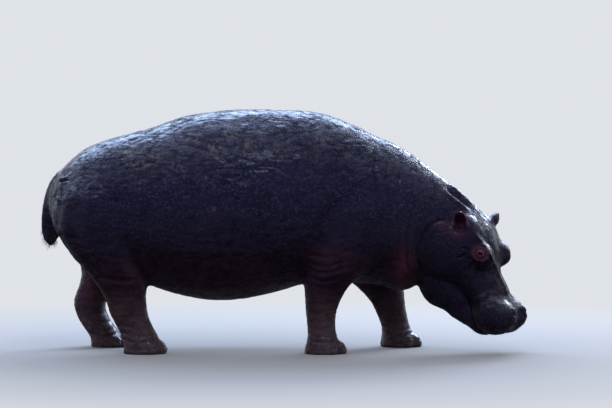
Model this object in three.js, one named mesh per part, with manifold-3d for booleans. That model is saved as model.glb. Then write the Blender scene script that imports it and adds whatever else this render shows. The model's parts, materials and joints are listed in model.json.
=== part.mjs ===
// A life-size hippopotamus, grazing in mid-stride with its head turned a little to its right.
// Millimetres, +X forward, +Y to the animal's left, +Z up. The soles stand on z = 0.
import * as THREE from "three";
import { mergeVertices } from "three/addons/utils/BufferGeometryUtils.js";
import Module from "manifold-3d";

const wasm = await Module();
wasm.setup();

// ---- Driving dimensions ----
const CLEARANCE = 0.6; // how far a socket is cut outside the form that sits in it
const BARREL_SAG = 0.14; // how far below mid height the trunk is widest, as a share of its half height
const HEAD_PITCH = 60; // degrees that the skull points below the horizon
const HEAD_TURN = 27; // degrees that the skull turns to the animal's right
const BETWEEN_EYES = new THREE.Vector3(1284, -212, 624); // origin of the head's own frame
const EYE_SPREAD = 176; // from the middle of the skull to the centre of an eye
const EYE_RADIUS = 22;
const TOE_ANGLES = [-56, -19, 19, 56]; // degrees round the foot from straight ahead
const FOOT_REACH = 98; // from the middle of a foot to the middle of a toe
const TOE_RADII = [52, 41, 50]; // along, across and up
const TOE_HEIGHT = 26; // of the middle of a toe above the ground
const NAIL_RADII = [34, 31, 28];
const NAIL_AHEAD = 28; // of the middle of the toe
const NAIL_HEIGHT = 21;
const NAIL_FLOOR = 3; // the nails end this far above the ground
const NECK_CUT = { x: 575, z: 850, lean: -4 }; // where the neck is parted from the trunk, lean in degrees

// ---- Closed solids ----

// A geometry as a solid: only positions are kept, the seam is merged and the faces are turned outwards.
function solid(geometry) {
  const bare = geometry.clone();
  bare.deleteAttribute("normal");
  bare.deleteAttribute("uv");
  const merged = mergeVertices(bare, 1e-4);
  const vertProperties = new Float32Array(merged.attributes.position.array);
  const triVerts = new Uint32Array(merged.index.array);
  const build = () => new wasm.Manifold(new wasm.Mesh({ numProp: 3, vertProperties, triVerts }));
  const made = build();
  if (made.volume() > 0) return made;
  for (let i = 0; i < triVerts.length; i += 3) {
    [triVerts[i + 1], triVerts[i + 2]] = [triVerts[i + 2], triVerts[i + 1]];
  }
  return build();
}

// A solid back as a geometry.
function geometryOf(body) {
  const mesh = body.getMesh();
  const geometry = new THREE.BufferGeometry();
  geometry.setAttribute("position", new THREE.BufferAttribute(mesh.vertProperties, 3));
  geometry.setIndex(new THREE.BufferAttribute(mesh.triVerts, 1));
  return geometry;
}

// A solid with every corner pushed out a little, to cut a socket that clears it.
function swollen(body, by = CLEARANCE) {
  const geometry = geometryOf(body);
  geometry.computeVertexNormals();
  const { position, normal } = geometry.attributes;
  for (let i = 0; i < position.count; i++) {
    position.setXYZ(
      i,
      position.getX(i) + by * normal.getX(i),
      position.getY(i) + by * normal.getY(i),
      position.getZ(i) + by * normal.getZ(i),
    );
  }
  return solid(geometry);
}

const join = (bodies) => bodies.reduce((all, body) => all.add(body));

// The largest of a solid's separate bodies.
const largest = (body) => body.decompose().reduce((a, b) => (a.volume() > b.volume() ? a : b));

// Everything under a level, as a box to cut with.
function below(level) {
  const box = new THREE.BoxGeometry(6000, 4000, 2000);
  box.translate(0, 0, level - 1000);
  return solid(box);
}

// A sphere's corners moved by a function of their place along it (0 to 1) and angle round it.
function shaped(around, along, place) {
  const geometry = new THREE.SphereGeometry(1, around, along);
  const corners = geometry.attributes.position;
  const corner = new THREE.Vector3();
  for (let i = 0; i < corners.count; i++) {
    corner.fromBufferAttribute(corners, i);
    const t = Math.acos(THREE.MathUtils.clamp(corner.y, -1, 1)) / Math.PI;
    const spot = place(t, Math.atan2(corner.z, corner.x));
    corners.setXYZ(i, spot.x, spot.y, spot.z);
  }
  return geometry;
}

// A form drawn from the side: each ring spans two outline points, `over` and `under`, and is `wide`
// to each side of `side`. The first and last rings have no width and close the form.
function loft(rings, around, between, sag = 0, squareness = 2.15) {
  const curve = (pair) => new THREE.SplineCurve(rings.map((ring) => new THREE.Vector2(...pair(ring))));
  const over = curve((ring) => ring.over);
  const under = curve((ring) => ring.under);
  const across = curve((ring) => [ring.wide, ring.side ?? 0]);
  const power = 2 / squareness;
  const rounded = (x) => Math.sign(x) * Math.abs(x) ** power;
  return solid(
    shaped(around, (rings.length - 1) * between, (t, angle) => {
      const top = over.getPoint(t);
      const low = under.getPoint(t);
      const [wide, side] = across.getPoint(t).toArray();
      const up = rounded(Math.cos(angle)) - sag * Math.sin(angle) ** 2;
      const out = rounded(Math.sin(angle));
      const share = (1 + up) / 2;
      return {
        x: low.x + (top.x - low.x) * share,
        y: side + Math.max(wide, 0) * out,
        z: low.y + (top.y - low.y) * share,
      };
    }),
  );
}

function ellipsoid(radii, around, along) {
  const geometry = new THREE.SphereGeometry(1, around, along);
  geometry.scale(...radii);
  return geometry;
}

// ---- Trunk and neck: one form from the rump to the poll ----

const BODY_RINGS = [
  { over: [-1466, 950], under: [-1466, 950], wide: 0 }, // rump
  { over: [-1446, 1040], under: [-1456, 862], wide: 105 },
  { over: [-1311, 1208], under: [-1385, 700], wide: 285 }, // croup
  { over: [-1130, 1310], under: [-1215, 565], wide: 400 }, // hips
  { over: [-872, 1384], under: [-930, 440], wide: 468 }, // loin
  { over: [-600, 1470], under: [-640, 340], wide: 508 }, // flank
  { over: [-311, 1507], under: [-340, 307], wide: 522 }, // belly
  { over: [0, 1508], under: [-60, 360], wide: 505 }, // ribs
  { over: [250, 1484], under: [160, 418], wide: 458 }, // girth
  { over: [470, 1396], under: [400, 425], wide: 415 }, // withers and breast
  { over: [682, 1302], under: [610, 398], wide: 362, side: -8 }, // foot of the neck
  { over: [880, 1172], under: [760, 372], wide: 288, side: -40 }, // neck
  { over: [1048, 1038], under: [835, 425], wide: 212, side: -95 }, // nape
  { over: [1140, 955], under: [890, 560], wide: 150, side: -130 }, // poll
  { over: [1120, 760], under: [1120, 760], wide: 0, side: -150 },
];

// ---- Legs, from the thigh or shoulder down to the sole; `over` is the front edge ----

const LEG_RINGS = {
  leg_hind_right: [
    { over: [-1120, 1060], under: [-1120, 1060], wide: 0, side: -250 },
    { over: [-905, 965], under: [-1350, 940], wide: 150, side: -270 },
    { over: [-835, 740], under: [-1398, 765], wide: 172, side: -275 },
    { over: [-828, 545], under: [-1302, 600], wide: 160, side: -270 },
    { over: [-836, 425], under: [-1188, 470], wide: 130, side: -258 },
    { over: [-845, 330], under: [-1108, 345], wide: 104, side: -248 },
    { over: [-832, 225], under: [-1072, 240], wide: 92, side: -240 },
    { over: [-786, 130], under: [-1015, 125], wide: 98, side: -236 },
    { over: [-752, 50], under: [-990, 45], wide: 116, side: -236 },
    { over: [-752, -12], under: [-985, -12], wide: 108, side: -236 },
    { over: [-865, -30], under: [-865, -30], wide: 0, side: -236 },
  ],
  leg_hind_left: [
    { over: [-1150, 1040], under: [-1150, 1040], wide: 0, side: 250 },
    { over: [-950, 950], under: [-1370, 920], wide: 150, side: 270 },
    { over: [-905, 730], under: [-1398, 755], wide: 172, side: 275 },
    { over: [-965, 545], under: [-1330, 600], wide: 156, side: 268 },
    { over: [-1040, 430], under: [-1290, 475], wide: 122, side: 256 },
    { over: [-1100, 350], under: [-1312, 370], wide: 98, side: 248 },
    { over: [-1136, 255], under: [-1345, 272], wide: 86, side: 240 },
    { over: [-1090, 150], under: [-1302, 160], wide: 94, side: 236 },
    { over: [-1022, 52], under: [-1232, 58], wide: 114, side: 236 },
    { over: [-1015, -12], under: [-1222, -12], wide: 106, side: 236 },
    { over: [-1118, -30], under: [-1118, -30], wide: 0, side: 236 },
  ],
  leg_front_right: [
    { over: [400, 1040], under: [400, 1040], wide: 0, side: -235 },
    { over: [610, 925], under: [190, 900], wide: 140, side: -262 },
    { over: [612, 700], under: [128, 690], wide: 158, side: -268 },
    { over: [520, 520], under: [118, 520], wide: 146, side: -262 },
    { over: [408, 420], under: [124, 410], wide: 120, side: -252 },
    { over: [345, 310], under: [130, 300], wide: 96, side: -246 },
    { over: [322, 205], under: [138, 195], wide: 86, side: -242 },
    { over: [330, 120], under: [142, 105], wide: 96, side: -240 },
    { over: [352, 48], under: [130, 42], wide: 116, side: -240 },
    { over: [350, -12], under: [130, -12], wide: 108, side: -240 },
    { over: [240, -30], under: [240, -30], wide: 0, side: -240 },
  ],
  leg_front_left: [
    { over: [450, 1030], under: [450, 1030], wide: 0, side: 225 },
    { over: [680, 905], under: [232, 880], wide: 140, side: 252 },
    { over: [738, 690], under: [235, 690], wide: 158, side: 262 },
    { over: [752, 530], under: [300, 520], wide: 146, side: 258 },
    { over: [762, 420], under: [412, 415], wide: 120, side: 250 },
    { over: [768, 318], under: [532, 304], wide: 98, side: 244 },
    { over: [778, 212], under: [592, 200], wide: 88, side: 240 },
    { over: [800, 122], under: [618, 105], wide: 96, side: 238 },
    { over: [838, 48], under: [612, 42], wide: 116, side: 238 },
    { over: [836, -12], under: [612, -12], wide: 108, side: 238 },
    { over: [725, -30], under: [725, -30], wide: 0, side: 238 },
  ],
};

// The middle of a foot, as [x, y], from the ring that meets the ground.
function footOf(rings) {
  const sole = rings[rings.length - 2];
  return [(sole.over[0] + sole.under[0]) / 2, sole.side];
}

// The four toes round the front of a foot; the outer two are smaller and set back a little.
function toesOf(rings) {
  const [x, y] = footOf(rings);
  return TOE_ANGLES.map((degrees) => {
    const heading = THREE.MathUtils.degToRad(degrees);
    const outer = Math.abs(degrees) > 30;
    const reach = FOOT_REACH * (outer ? 0.94 : 1);
    const middle = [x + reach * Math.cos(heading), y + reach * Math.sin(heading)];
    return { middle, heading, size: outer ? 0.88 : 1 };
  });
}

// A geometry made at the origin, turned to a toe's heading and set `ahead` of the middle of the toe.
function onToe({ middle, heading, size }, geometry, ahead, height) {
  const step = ahead * size;
  geometry.rotateZ(heading);
  geometry.translate(middle[0] + step * Math.cos(heading), middle[1] + step * Math.sin(heading), height);
  return solid(geometry);
}

function toe(spot) {
  const radii = TOE_RADII.map((radius) => radius * spot.size);
  return onToe(spot, ellipsoid(radii, 8, 5), 0, TOE_HEIGHT);
}

// A nail is the front of an egg: its flat back lies against the toe. `grown` makes its socket.
function nail(spot, grown = 0) {
  const radii = NAIL_RADII.map((radius) => radius * spot.size + grown);
  const egg = onToe(spot, ellipsoid(radii, 8, 4), NAIL_AHEAD, NAIL_HEIGHT);
  const behind = new THREE.BoxGeometry(100, 100, 100);
  behind.translate(-50 - grown, 0, 0);
  return egg.subtract(onToe(spot, behind, NAIL_AHEAD, NAIL_HEIGHT)).subtract(below(NAIL_FLOOR - grown));
}

// ---- Tail: a flattened blade hanging behind the rump; `over` is its rear edge ----

const TAIL_RINGS = [
  { over: [-1372, 1080], under: [-1372, 1080], wide: 0 },
  { over: [-1412, 1112], under: [-1398, 1022], wide: 50 },
  { over: [-1474, 1022], under: [-1418, 965], wide: 46 },
  { over: [-1516, 885], under: [-1432, 868], wide: 34 },
  { over: [-1522, 782], under: [-1420, 765], wide: 26 },
  { over: [-1508, 692], under: [-1406, 708], wide: 19 },
  { over: [-1456, 634], under: [-1456, 634], wide: 0 },
];

// ---- Head: named masses in the head's frame, blended into one surface ----
// In this frame x runs to the muzzle, z up out of the forehead and y to the animal's left.

const pair = (x, y, z, radii) => [-1, 1].map((side) => ({ at: [x, side * y, z], radii }));

const SKULL_MASSES = [
  { at: [-170, 0, -90], radii: [165, 165, 138] }, // cranium
  { at: [-290, 0, -84], radii: [115, 150, 125] }, // poll
  { at: [-85, 0, -45], radii: [190, 148, 92] }, // forehead
  { at: [120, 0, -128], radii: [230, 132, 106] }, // snout
  { at: [265, 0, -140], radii: [150, 126, 98] }, // bridge
  { at: [385, 0, -140], radii: [98, 165, 98] }, // front of the muzzle
  ...pair(12, 134, -6, [78, 58, 64]), // brow over each eye
  ...pair(-165, 128, -28, [105, 58, 72]), // temple
  ...pair(-120, 150, -230, [190, 102, 185]), // cheek
  ...pair(60, 105, -175, [160, 70, 85]), // flesh below the eye
  ...pair(352, 122, -152, [120, 108, 96]), // lip pad
  ...pair(402, 88, -68, [58, 46, 42]), // nostril
];

const JAW_MASSES = [
  ...pair(-80, 112, -315, [165, 102, 142]), // angle of the jaw
  ...pair(25, 98, -380, [135, 88, 118]), // jowl
  ...pair(110, 92, -312, [200, 80, 104]), // side of the jaw
  { at: [60, 0, -305], radii: [250, 110, 90] }, // floor of the mouth
  { at: [325, 0, -265], radii: [108, 158, 72] }, // chin
];

const MASS_BLEND = 62; // how widely two masses run into each other

// The straight line inside each form that its surface is found from: rear end, front end and height.
const SKULL_CORE = { rear: -210, front: 360, height: -130 };
const JAW_CORE = { rear: -120, front: 330, height: -300 };
const HEAD_REACH = 420; // no part of the head is further from its core than this

// Signed distance to a mass, exact enough near its surface.
function distanceTo({ at, radii }, p) {
  const scaled = [0, 1, 2].map((k) => (p[k] - at[k]) / radii[k]);
  const near = Math.hypot(...scaled);
  const steep = Math.hypot(...scaled.map((value, k) => value / radii[k]));
  return steep === 0 ? -Math.min(...radii) : (near * (near - 1)) / steep;
}

function distanceToFlesh(masses, p) {
  return masses
    .map((mass) => distanceTo(mass, p))
    .reduce((a, b) => {
      const overlap = Math.max(MASS_BLEND - Math.abs(a - b), 0) / MASS_BLEND;
      return Math.min(a, b) - (overlap ** 2 * MASS_BLEND) / 4;
    });
}

// The blended surface round a straight core, found by halving along rays that leave it.
function blended(masses, { rear, front, height }, around, along) {
  return shaped(around, along, (t, angle) => {
    const polar = t * Math.PI;
    const middle = (rear + front) / 2 + ((front - rear) / 2) * Math.cos(polar);
    const ray = [Math.cos(polar), Math.sin(polar) * Math.sin(angle), Math.sin(polar) * Math.cos(angle)];
    const onRay = (r) => [middle + r * ray[0], r * ray[1], height + r * ray[2]];
    let inside = 0;
    let outside = HEAD_REACH;
    while (outside - inside > 0.2) {
      const r = (inside + outside) / 2;
      if (distanceToFlesh(masses, onRay(r)) < 0) inside = r;
      else outside = r;
    }
    const [x, y, z] = onRay(inside);
    return { x, y, z };
  });
}

// From the head's frame to the animal's.
const headFrame = new THREE.Matrix4()
  .makeRotationFromEuler(
    new THREE.Euler(0, THREE.MathUtils.degToRad(HEAD_PITCH), THREE.MathUtils.degToRad(-HEAD_TURN), "ZYX"),
  )
  .setPosition(BETWEEN_EYES);

const inHead = (geometry) => solid(geometry.applyMatrix4(headFrame));

// An ear: a leaf that is cupped towards its opening. `root` and `tip` are in the head's frame.
function ear({ root, tip, opening, width }) {
  const base = new THREE.Vector3(...root);
  const up = new THREE.Vector3(...tip).sub(base);
  const length = up.length();
  up.normalize();
  const across = new THREE.Vector3().crossVectors(up, new THREE.Vector3(...opening)).normalize();
  const open = new THREE.Vector3().crossVectors(across, up);
  const leaf = shaped(10, 7, (t, angle) => {
    const rise = (1 - Math.cos(t * Math.PI)) / 2;
    const girth = Math.sin(t * Math.PI) * (1.12 - 0.5 * Math.abs(rise - 0.55));
    const side = girth * Math.sin(angle);
    const thick = 12 * girth * Math.cos(angle) * (1.5 - rise);
    const spot = base.clone().addScaledVector(up, length * rise);
    spot.addScaledVector(across, (width / 2) * side);
    return spot.addScaledVector(open, thick + 20 * side ** 2 * rise);
  });
  return inHead(leaf);
}

const EARS = {
  ear_right: { root: [-186, -150, -57], tip: [-285, -230, 35], opening: [0.35, -1, 0.1], width: 78 },
  ear_left: { root: [-178, 140, -6], tip: [-240, 214, 62], opening: [0.9, 0.5, 0.2], width: 72 },
};

function eye(side) {
  const ball = new THREE.SphereGeometry(EYE_RADIUS, 8, 6);
  ball.translate(0, side * EYE_SPREAD, 0);
  return inHead(ball);
}

// ---- The pieces: limbs keep their full form, and what carries them gets a socket ----

const ground = below(0);
const pieces = {};

const legs = Object.entries(LEG_RINGS).map(([name, rings]) => {
  const toes = toesOf(rings);
  const limb = loft(rings, 10, 2);
  const foot = join([limb, ...toes.map(toe)]).subtract(ground);
  pieces[name] = toes.reduce((rest, spot) => rest.subtract(nail(spot, CLEARANCE)), foot);
  toes.forEach((spot, i) => {
    pieces[`${name.replace("leg", "nail")}_${i + 1}`] = nail(spot);
  });
  return swollen(limb);
});

const body = loft(BODY_RINGS, 20, 2, BARREL_SAG);
const neckSocket = swollen(body);
const skull = inHead(blended(SKULL_MASSES, SKULL_CORE, 24, 24));
const skullSocket = swollen(skull);
const jaw = inHead(blended(JAW_MASSES, JAW_CORE, 14, 14));
pieces.eye_right = eye(-1);
pieces.eye_left = eye(1);
pieces.head = largest(
  skull.subtract(neckSocket).subtract(swollen(pieces.eye_right)).subtract(swollen(pieces.eye_left)),
);
pieces.lower_jaw = largest(jaw.subtract(skullSocket).subtract(neckSocket));
for (const [name, plan] of Object.entries(EARS)) {
  pieces[name] = largest(ear(plan).subtract(skullSocket).subtract(neckSocket));
}

// The neck is parted from the trunk by a thin leaning plate.
const cutPlate = new THREE.BoxGeometry(CLEARANCE, 2000, 3000);
cutPlate.rotateY(THREE.MathUtils.degToRad(NECK_CUT.lean));
cutPlate.translate(NECK_CUT.x, 0, NECK_CUT.z);
const [front, rear] = legs
  .reduce((rest, socket) => rest.subtract(socket), body)
  .subtract(solid(cutPlate))
  .decompose()
  .sort((a, b) => b.volume() - a.volume())
  .slice(0, 2)
  .sort((a, b) => b.boundingBox().max[0] - a.boundingBox().max[0]);
pieces.neck = front;
pieces.trunk = rear;

const rump = swollen(rear);
pieces.tail = largest(loft(TAIL_RINGS, 8, 2).subtract(rump).subtract(legs[0]).subtract(legs[1]));

// ---- Materials and the finished group ----

const material = (color, roughness) => new THREE.MeshStandardMaterial({ color, roughness, metalness: 0 });
const hide = material(0x2b2836, 0.5);
const paleHide = material(0x3a2a33, 0.5);
const horn = material(0x4a4038, 0.6);
const wetEye = material(0x140d0b, 0.1);

function finishOf(name) {
  if (name.startsWith("nail")) return horn;
  if (name.startsWith("eye")) return wetEye;
  if (name.startsWith("ear")) return paleHide;
  return hide;
}

const hippopotamus = new THREE.Group();
for (const [name, piece] of Object.entries(pieces)) {
  const mesh = new THREE.Mesh(geometryOf(piece), finishOf(name));
  mesh.name = name;
  hippopotamus.add(mesh);
}

// The origin is under the middle of the whole animal, on the ground.
const extent = new THREE.Box3().setFromObject(hippopotamus);
hippopotamus.position.set(-(extent.min.x + extent.max.x) / 2, -(extent.min.y + extent.max.y) / 2, 0);

export default hippopotamus;
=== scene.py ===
# %% [markdown]
# # A grazing hippopotamus, life size
#
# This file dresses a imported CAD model: a still, life-size hippopotamus that grazes in mid-stride
# with its head turned a little to its right. The CAD solids give the size, the stance and the
# main forms. Here they get one wrinkled skin, real eyes and lids, smooth nails and a few bristles.
#
# Everything is in metres. +X runs to the nose, +Y to the animal's left and +Z up, and the soles
# stand on z = 0. A form could be sculpted by hand, but then it would stop following the CAD when
# the CAD changes. So the forms below start from the CAD nodes and from a few named dimensions,
# and only the folds and the patches of colour are drawn, as short lines and spots on a view.

# %% Load the frame
import json
import math
import time

import bmesh
import bpy
import numpy as np
import openvdb
from mathutils import Matrix, Vector

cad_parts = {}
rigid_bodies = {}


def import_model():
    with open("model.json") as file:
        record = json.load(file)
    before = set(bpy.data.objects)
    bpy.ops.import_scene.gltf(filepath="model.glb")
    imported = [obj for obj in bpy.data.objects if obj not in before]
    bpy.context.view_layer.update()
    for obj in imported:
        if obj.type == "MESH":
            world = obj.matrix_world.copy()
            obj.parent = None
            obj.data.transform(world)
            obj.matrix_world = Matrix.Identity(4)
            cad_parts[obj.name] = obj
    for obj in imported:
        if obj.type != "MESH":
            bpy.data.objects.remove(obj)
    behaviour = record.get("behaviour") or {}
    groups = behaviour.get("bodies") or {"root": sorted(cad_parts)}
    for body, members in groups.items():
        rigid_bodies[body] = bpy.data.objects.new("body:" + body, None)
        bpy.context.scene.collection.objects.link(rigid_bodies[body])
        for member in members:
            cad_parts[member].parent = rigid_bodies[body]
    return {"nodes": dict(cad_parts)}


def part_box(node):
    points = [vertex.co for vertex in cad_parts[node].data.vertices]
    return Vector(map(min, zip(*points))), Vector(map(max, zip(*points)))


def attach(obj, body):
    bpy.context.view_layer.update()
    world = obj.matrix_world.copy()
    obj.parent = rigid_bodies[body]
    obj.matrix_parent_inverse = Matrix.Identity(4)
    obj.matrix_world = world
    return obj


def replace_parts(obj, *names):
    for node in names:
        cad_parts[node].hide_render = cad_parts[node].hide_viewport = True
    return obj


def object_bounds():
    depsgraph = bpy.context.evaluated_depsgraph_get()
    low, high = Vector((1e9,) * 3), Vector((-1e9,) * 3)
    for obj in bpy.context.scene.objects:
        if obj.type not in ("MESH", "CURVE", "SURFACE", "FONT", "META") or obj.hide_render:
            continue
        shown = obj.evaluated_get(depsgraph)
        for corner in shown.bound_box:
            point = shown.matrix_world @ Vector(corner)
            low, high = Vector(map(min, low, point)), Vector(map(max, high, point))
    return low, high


for leftover in list(bpy.data.objects):
    bpy.data.objects.remove(leftover)
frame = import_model()
CAD_LOW, CAD_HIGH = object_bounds()
BEGAN = time.perf_counter()


def tell(*words):
    """Prints what was made, and the seconds that it has all taken so far."""
    print(*words, "|", round(time.perf_counter() - BEGAN, 1), "s")


def put_in_scene(name, data):
    """A new object of a mesh, a camera or a lamp, in the scene."""
    thing = bpy.data.objects.new(name, data)
    bpy.context.scene.collection.objects.link(thing)
    return thing


tell("the CAD spans", [round(high - low, 3) for low, high in zip(CAD_LOW, CAD_HIGH)], "m")

# %% [markdown]
# ## Where the head is
#
# The head hangs nose down and turned, so nothing on it lines up with the world's axes. It is
# easier to shape a head in its own axes. The two eyes give them: their middle is the origin, the
# line between them points to the left, and one angle, the pitch, tips the nose down.

# %% The head's own axes
RIGHT, LEFT, BOTH = -1, 1, 0  # the sides of the animal, as signs of Y
HEAD_PITCH = math.radians(60)


def middle_of(node):
    low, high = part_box(node)
    return (low + high) / 2


EYES = {RIGHT: middle_of("eye_right"), LEFT: middle_of("eye_left")}
EYE_RADIUS = (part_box("eye_left")[1].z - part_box("eye_left")[0].z) / 2
HEAD_ORIGIN = (EYES[RIGHT] + EYES[LEFT]) / 2
HEAD_LEFT = (EYES[LEFT] - EYES[RIGHT]).normalized()
heading = HEAD_LEFT.cross(Vector((0, 0, 1)))
HEAD_AHEAD = heading * math.cos(HEAD_PITCH) - Vector((0, 0, 1)) * math.sin(HEAD_PITCH)
HEAD_UP = HEAD_AHEAD.cross(HEAD_LEFT)
HEAD_AXES = np.array([HEAD_AHEAD, HEAD_LEFT, HEAD_UP], np.float32)


def to_head(points):
    """World points in the head's axes: ahead, left and up from between the eyes."""
    return (points - np.array(HEAD_ORIGIN, np.float32)) @ HEAD_AXES.T


def from_head(point):
    """A point in the head's axes back in the world."""
    return HEAD_ORIGIN + HEAD_AHEAD * point[0] + HEAD_LEFT * point[1] + HEAD_UP * point[2]


print("the eyes are", round((EYES[LEFT] - EYES[RIGHT]).length, 3), "m apart")

# %% [markdown]
# ## Distances on a lattice
#
# Subdividing a body of boolean cuts would leave a dent at every cut. A distance field forgets
# the cuts: each lattice point holds how far it is from the surface, negative inside. Fields are
# joined by taking the smaller value, blended by a soft smaller value and smoothed by a blur, and
# the surface is wherever the value is zero.


# %% The lattice
class Lattice:
    """A box of evenly spaced points."""

    def __init__(self, low, high, step):
        self.low = np.array(low, np.float32)
        self.step = step
        self.shape = tuple(int(n) for n in np.ceil((np.array(high) - self.low) / step) + 1)

    def lines(self):
        """Where its layers lie along X, Y and Z."""
        return [self.low[k] + self.step * np.arange(self.shape[k], dtype=np.float32) for k in range(3)]

    def distance(self, corners, triangles, reach):
        """Signed distance from a closed shape, right up to `reach` from its surface."""
        place = openvdb.createLinearTransform(voxelSize=self.step)
        grid = openvdb.FloatGrid.createLevelSetFromPolygons(
            np.ascontiguousarray(corners - self.low, np.float32),
            triangles=triangles,
            transform=place,
            halfWidth=reach / self.step,
        )
        values = np.empty(self.shape, np.float32)
        grid.copyToArray(values)
        return values

    def surface(self, values):
        """Points and quads where the values pass zero."""
        grid = openvdb.FloatGrid(1.0)
        grid.transform = openvdb.createLinearTransform(voxelSize=self.step)
        grid.copyFromArray(np.ascontiguousarray(values))
        points, quads = grid.convertToQuads(0.0)
        return points + self.low, quads.astype(np.int32)


# %% [markdown]
# A blur on its own shrinks what it smooths, as sanding does. The one below adds back what a
# second blur would take away, so that broad forms keep their size and only facets go.

# %% Smooth, resample and join fields
BLUR_REACH = 4.5  # how many of its own widths a blur looks to each side


def weighed(values, axis, weights):
    """A field blended with its neighbours along one axis, by weights from the middle outwards."""
    far = len(weights) - 1
    count = values.shape[axis]
    pad = [(far, far) if k == axis else (0, 0) for k in range(3)]
    wide = np.pad(values, pad, mode="edge")
    total = values * weights[0]
    for off in range(1, far + 1):
        for start in (far - off, far + off):
            cut = tuple(slice(start, start + count) if k == axis else slice(None) for k in range(3))
            total += wide[cut] * weights[off]
    return total


def softened(values, width, step):
    """A field blurred over `width`, with its larger forms held in place."""
    spread = width / step
    apart = np.arange(-int(BLUR_REACH * spread) - 1, int(BLUR_REACH * spread) + 2)
    kernel = np.exp(-0.5 * (apart / spread) ** 2)
    kernel /= kernel.sum()
    sharper = 2 * kernel - np.convolve(kernel, kernel, mode="same")
    weights = (sharper / sharper.sum())[len(apart) // 2 :].astype(np.float32)
    for axis in range(3):
        values = weighed(values, axis, weights)
    return values


def resampled(values, source, target):
    """A field read off one lattice at the points of another, evenly between its own points."""
    for axis in range(3):
        spots = (target.lines()[axis] - source.low[axis]) / source.step
        spots = np.clip(spots, 0, source.shape[axis] - 1.001)
        before = spots.astype(int)
        share = (spots - before).astype(np.float32).reshape([-1 if k == axis else 1 for k in range(3)])
        values = values.take(before, axis) * (1 - share) + values.take(before + 1, axis) * share
    return values


def melted(a, b, width):
    """The smaller of two fields, with a fillet where they are within `width` of each other."""
    overlap = np.maximum(width - np.abs(a - b), 0) / width
    return np.minimum(a, b) - overlap * overlap * (width / 4)


def ramp(values, start, end):
    """0 before start, 1 after end, and a smooth rise between."""
    share = np.clip((values - start) / (end - start), 0, 1)
    return share * share * (3 - 2 * share)


def read_all(items, field, width, kind=np.float32):
    """One field of every item of a mesh, as the rows of an array."""
    values = np.empty(len(items) * width, kind)
    items.foreach_get(field, values)
    return values.reshape(-1, width)


def closed_shape(node):
    """The corners and triangles of a CAD node."""
    mesh = frame["nodes"][node].data
    mesh.calc_loop_triangles()
    triangles = read_all(mesh.loop_triangles, "vertices", 3, np.int32)
    return read_all(mesh.vertices, "co", 3), triangles.astype(np.uint32)


def ball_distance(place, middle, radii):
    """Signed distance from an egg-shaped mass, exact enough near its surface."""
    scaled = [(axis - c) / r for axis, c, r in zip(place, middle, radii)]
    near = np.sqrt(sum(s * s for s in scaled))
    steep = np.sqrt(sum((s / r) ** 2 for s, r in zip(scaled, radii)))
    return near * (near - 1) / np.maximum(steep, 1e-5)


# %% [markdown]
# ## Trunk, neck, legs and tail
#
# The barrel of a hippopotamus is one broad curve, while its feet are small and lobed. One blur
# can't suit both, so the field is blurred three times, and each part takes the width that melts
# the facets of its solid but keeps its form. The legs are drawn on below the ground first, so
# that the blur doesn't round off the soles, and the ground then cuts them flat.

# %% The body's field
BODY_STEP = 0.0088
REACH = 0.11  # how far from a surface its distance is kept
HAIRLINE = 0.0008  # closes the gaps between the solids
THIGH_BLEND = 0.16
RUMP_FROM, RUMP_TO = (-1.02, 0.66), (-1.16, 0.82)  # X and Z where the thigh melts into the rump
SOLE_HEIGHT = 0.004  # a foot's corners lower than this belong to its sole
SOLE_PUSH = 0.2
LEGS = ["leg_hind_right", "leg_hind_left", "leg_front_right", "leg_front_left"]

margin = Vector((0.07, 0.07, 0.09))
body_lattice = Lattice(CAD_LOW - margin, CAD_HIGH + margin, BODY_STEP)


def through_ground(corners):
    """A foot's corners with its sole pushed down through the ground."""
    longer = corners.copy()
    longer[longer[:, 2] < SOLE_HEIGHT, 2] -= SOLE_PUSH
    return longer


def body_distance(node, reshaped=lambda corners: corners):
    """How far the body's lattice points are from a CAD node, which may be reshaped first."""
    corners, triangles = closed_shape(node)
    return body_lattice.distance(reshaped(corners), triangles, REACH)


barrel = np.minimum(body_distance("trunk"), body_distance("neck"))
limbs = np.minimum.reduce([body_distance(leg, through_ground) for leg in LEGS])
tail = body_distance("tail")
along, _, upward = body_lattice.lines()
at_rump = ramp(-along, -RUMP_FROM[0], -RUMP_TO[0])[:, None, None] * ramp(upward, RUMP_FROM[1], RUMP_TO[1])
flesh = np.minimum(barrel, limbs)
flesh += (melted(barrel, limbs, THIGH_BLEND) - flesh) * at_rump - HAIRLINE
tell("body lattice", body_lattice.shape)

# %% [markdown]
# ## Toes
#
# Each foot has four short toes in a fan, each behind its own nail. The nails' boxes say where.

# %% Toes
TOE_ANGLES = {1: -56, 2: -19, 3: 19, 4: 56}  # degrees from straight ahead
TOE_SIZE = {1: 0.88, 2: 1.0, 3: 1.0, 4: 0.88}
TOE_RADII = (0.054, 0.042, 0.050)
TOE_HEIGHT = 0.026
TOE_BEHIND_NAIL = 0.043
TOE_BLEND = 0.022
TOE_BOX = 0.15  # half the box in which a toe can change the field


class Toe:
    """Where one toe and its nail are, from the nail's box."""

    def __init__(self, node):
        number = int(node[-1])
        turn = math.radians(TOE_ANGLES[number])
        self.node = node
        self.size = TOE_SIZE[number]
        self.ahead = Vector((math.cos(turn), math.sin(turn), 0))
        self.across = Vector((-math.sin(turn), math.cos(turn), 0))
        self.middle = middle_of(node) - self.ahead * TOE_BEHIND_NAIL * self.size
        self.middle.z = TOE_HEIGHT


TOES = [Toe(node) for node in sorted(frame["nodes"]) if node.startswith("nail_")]
print(len(TOES), "toes")


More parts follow.
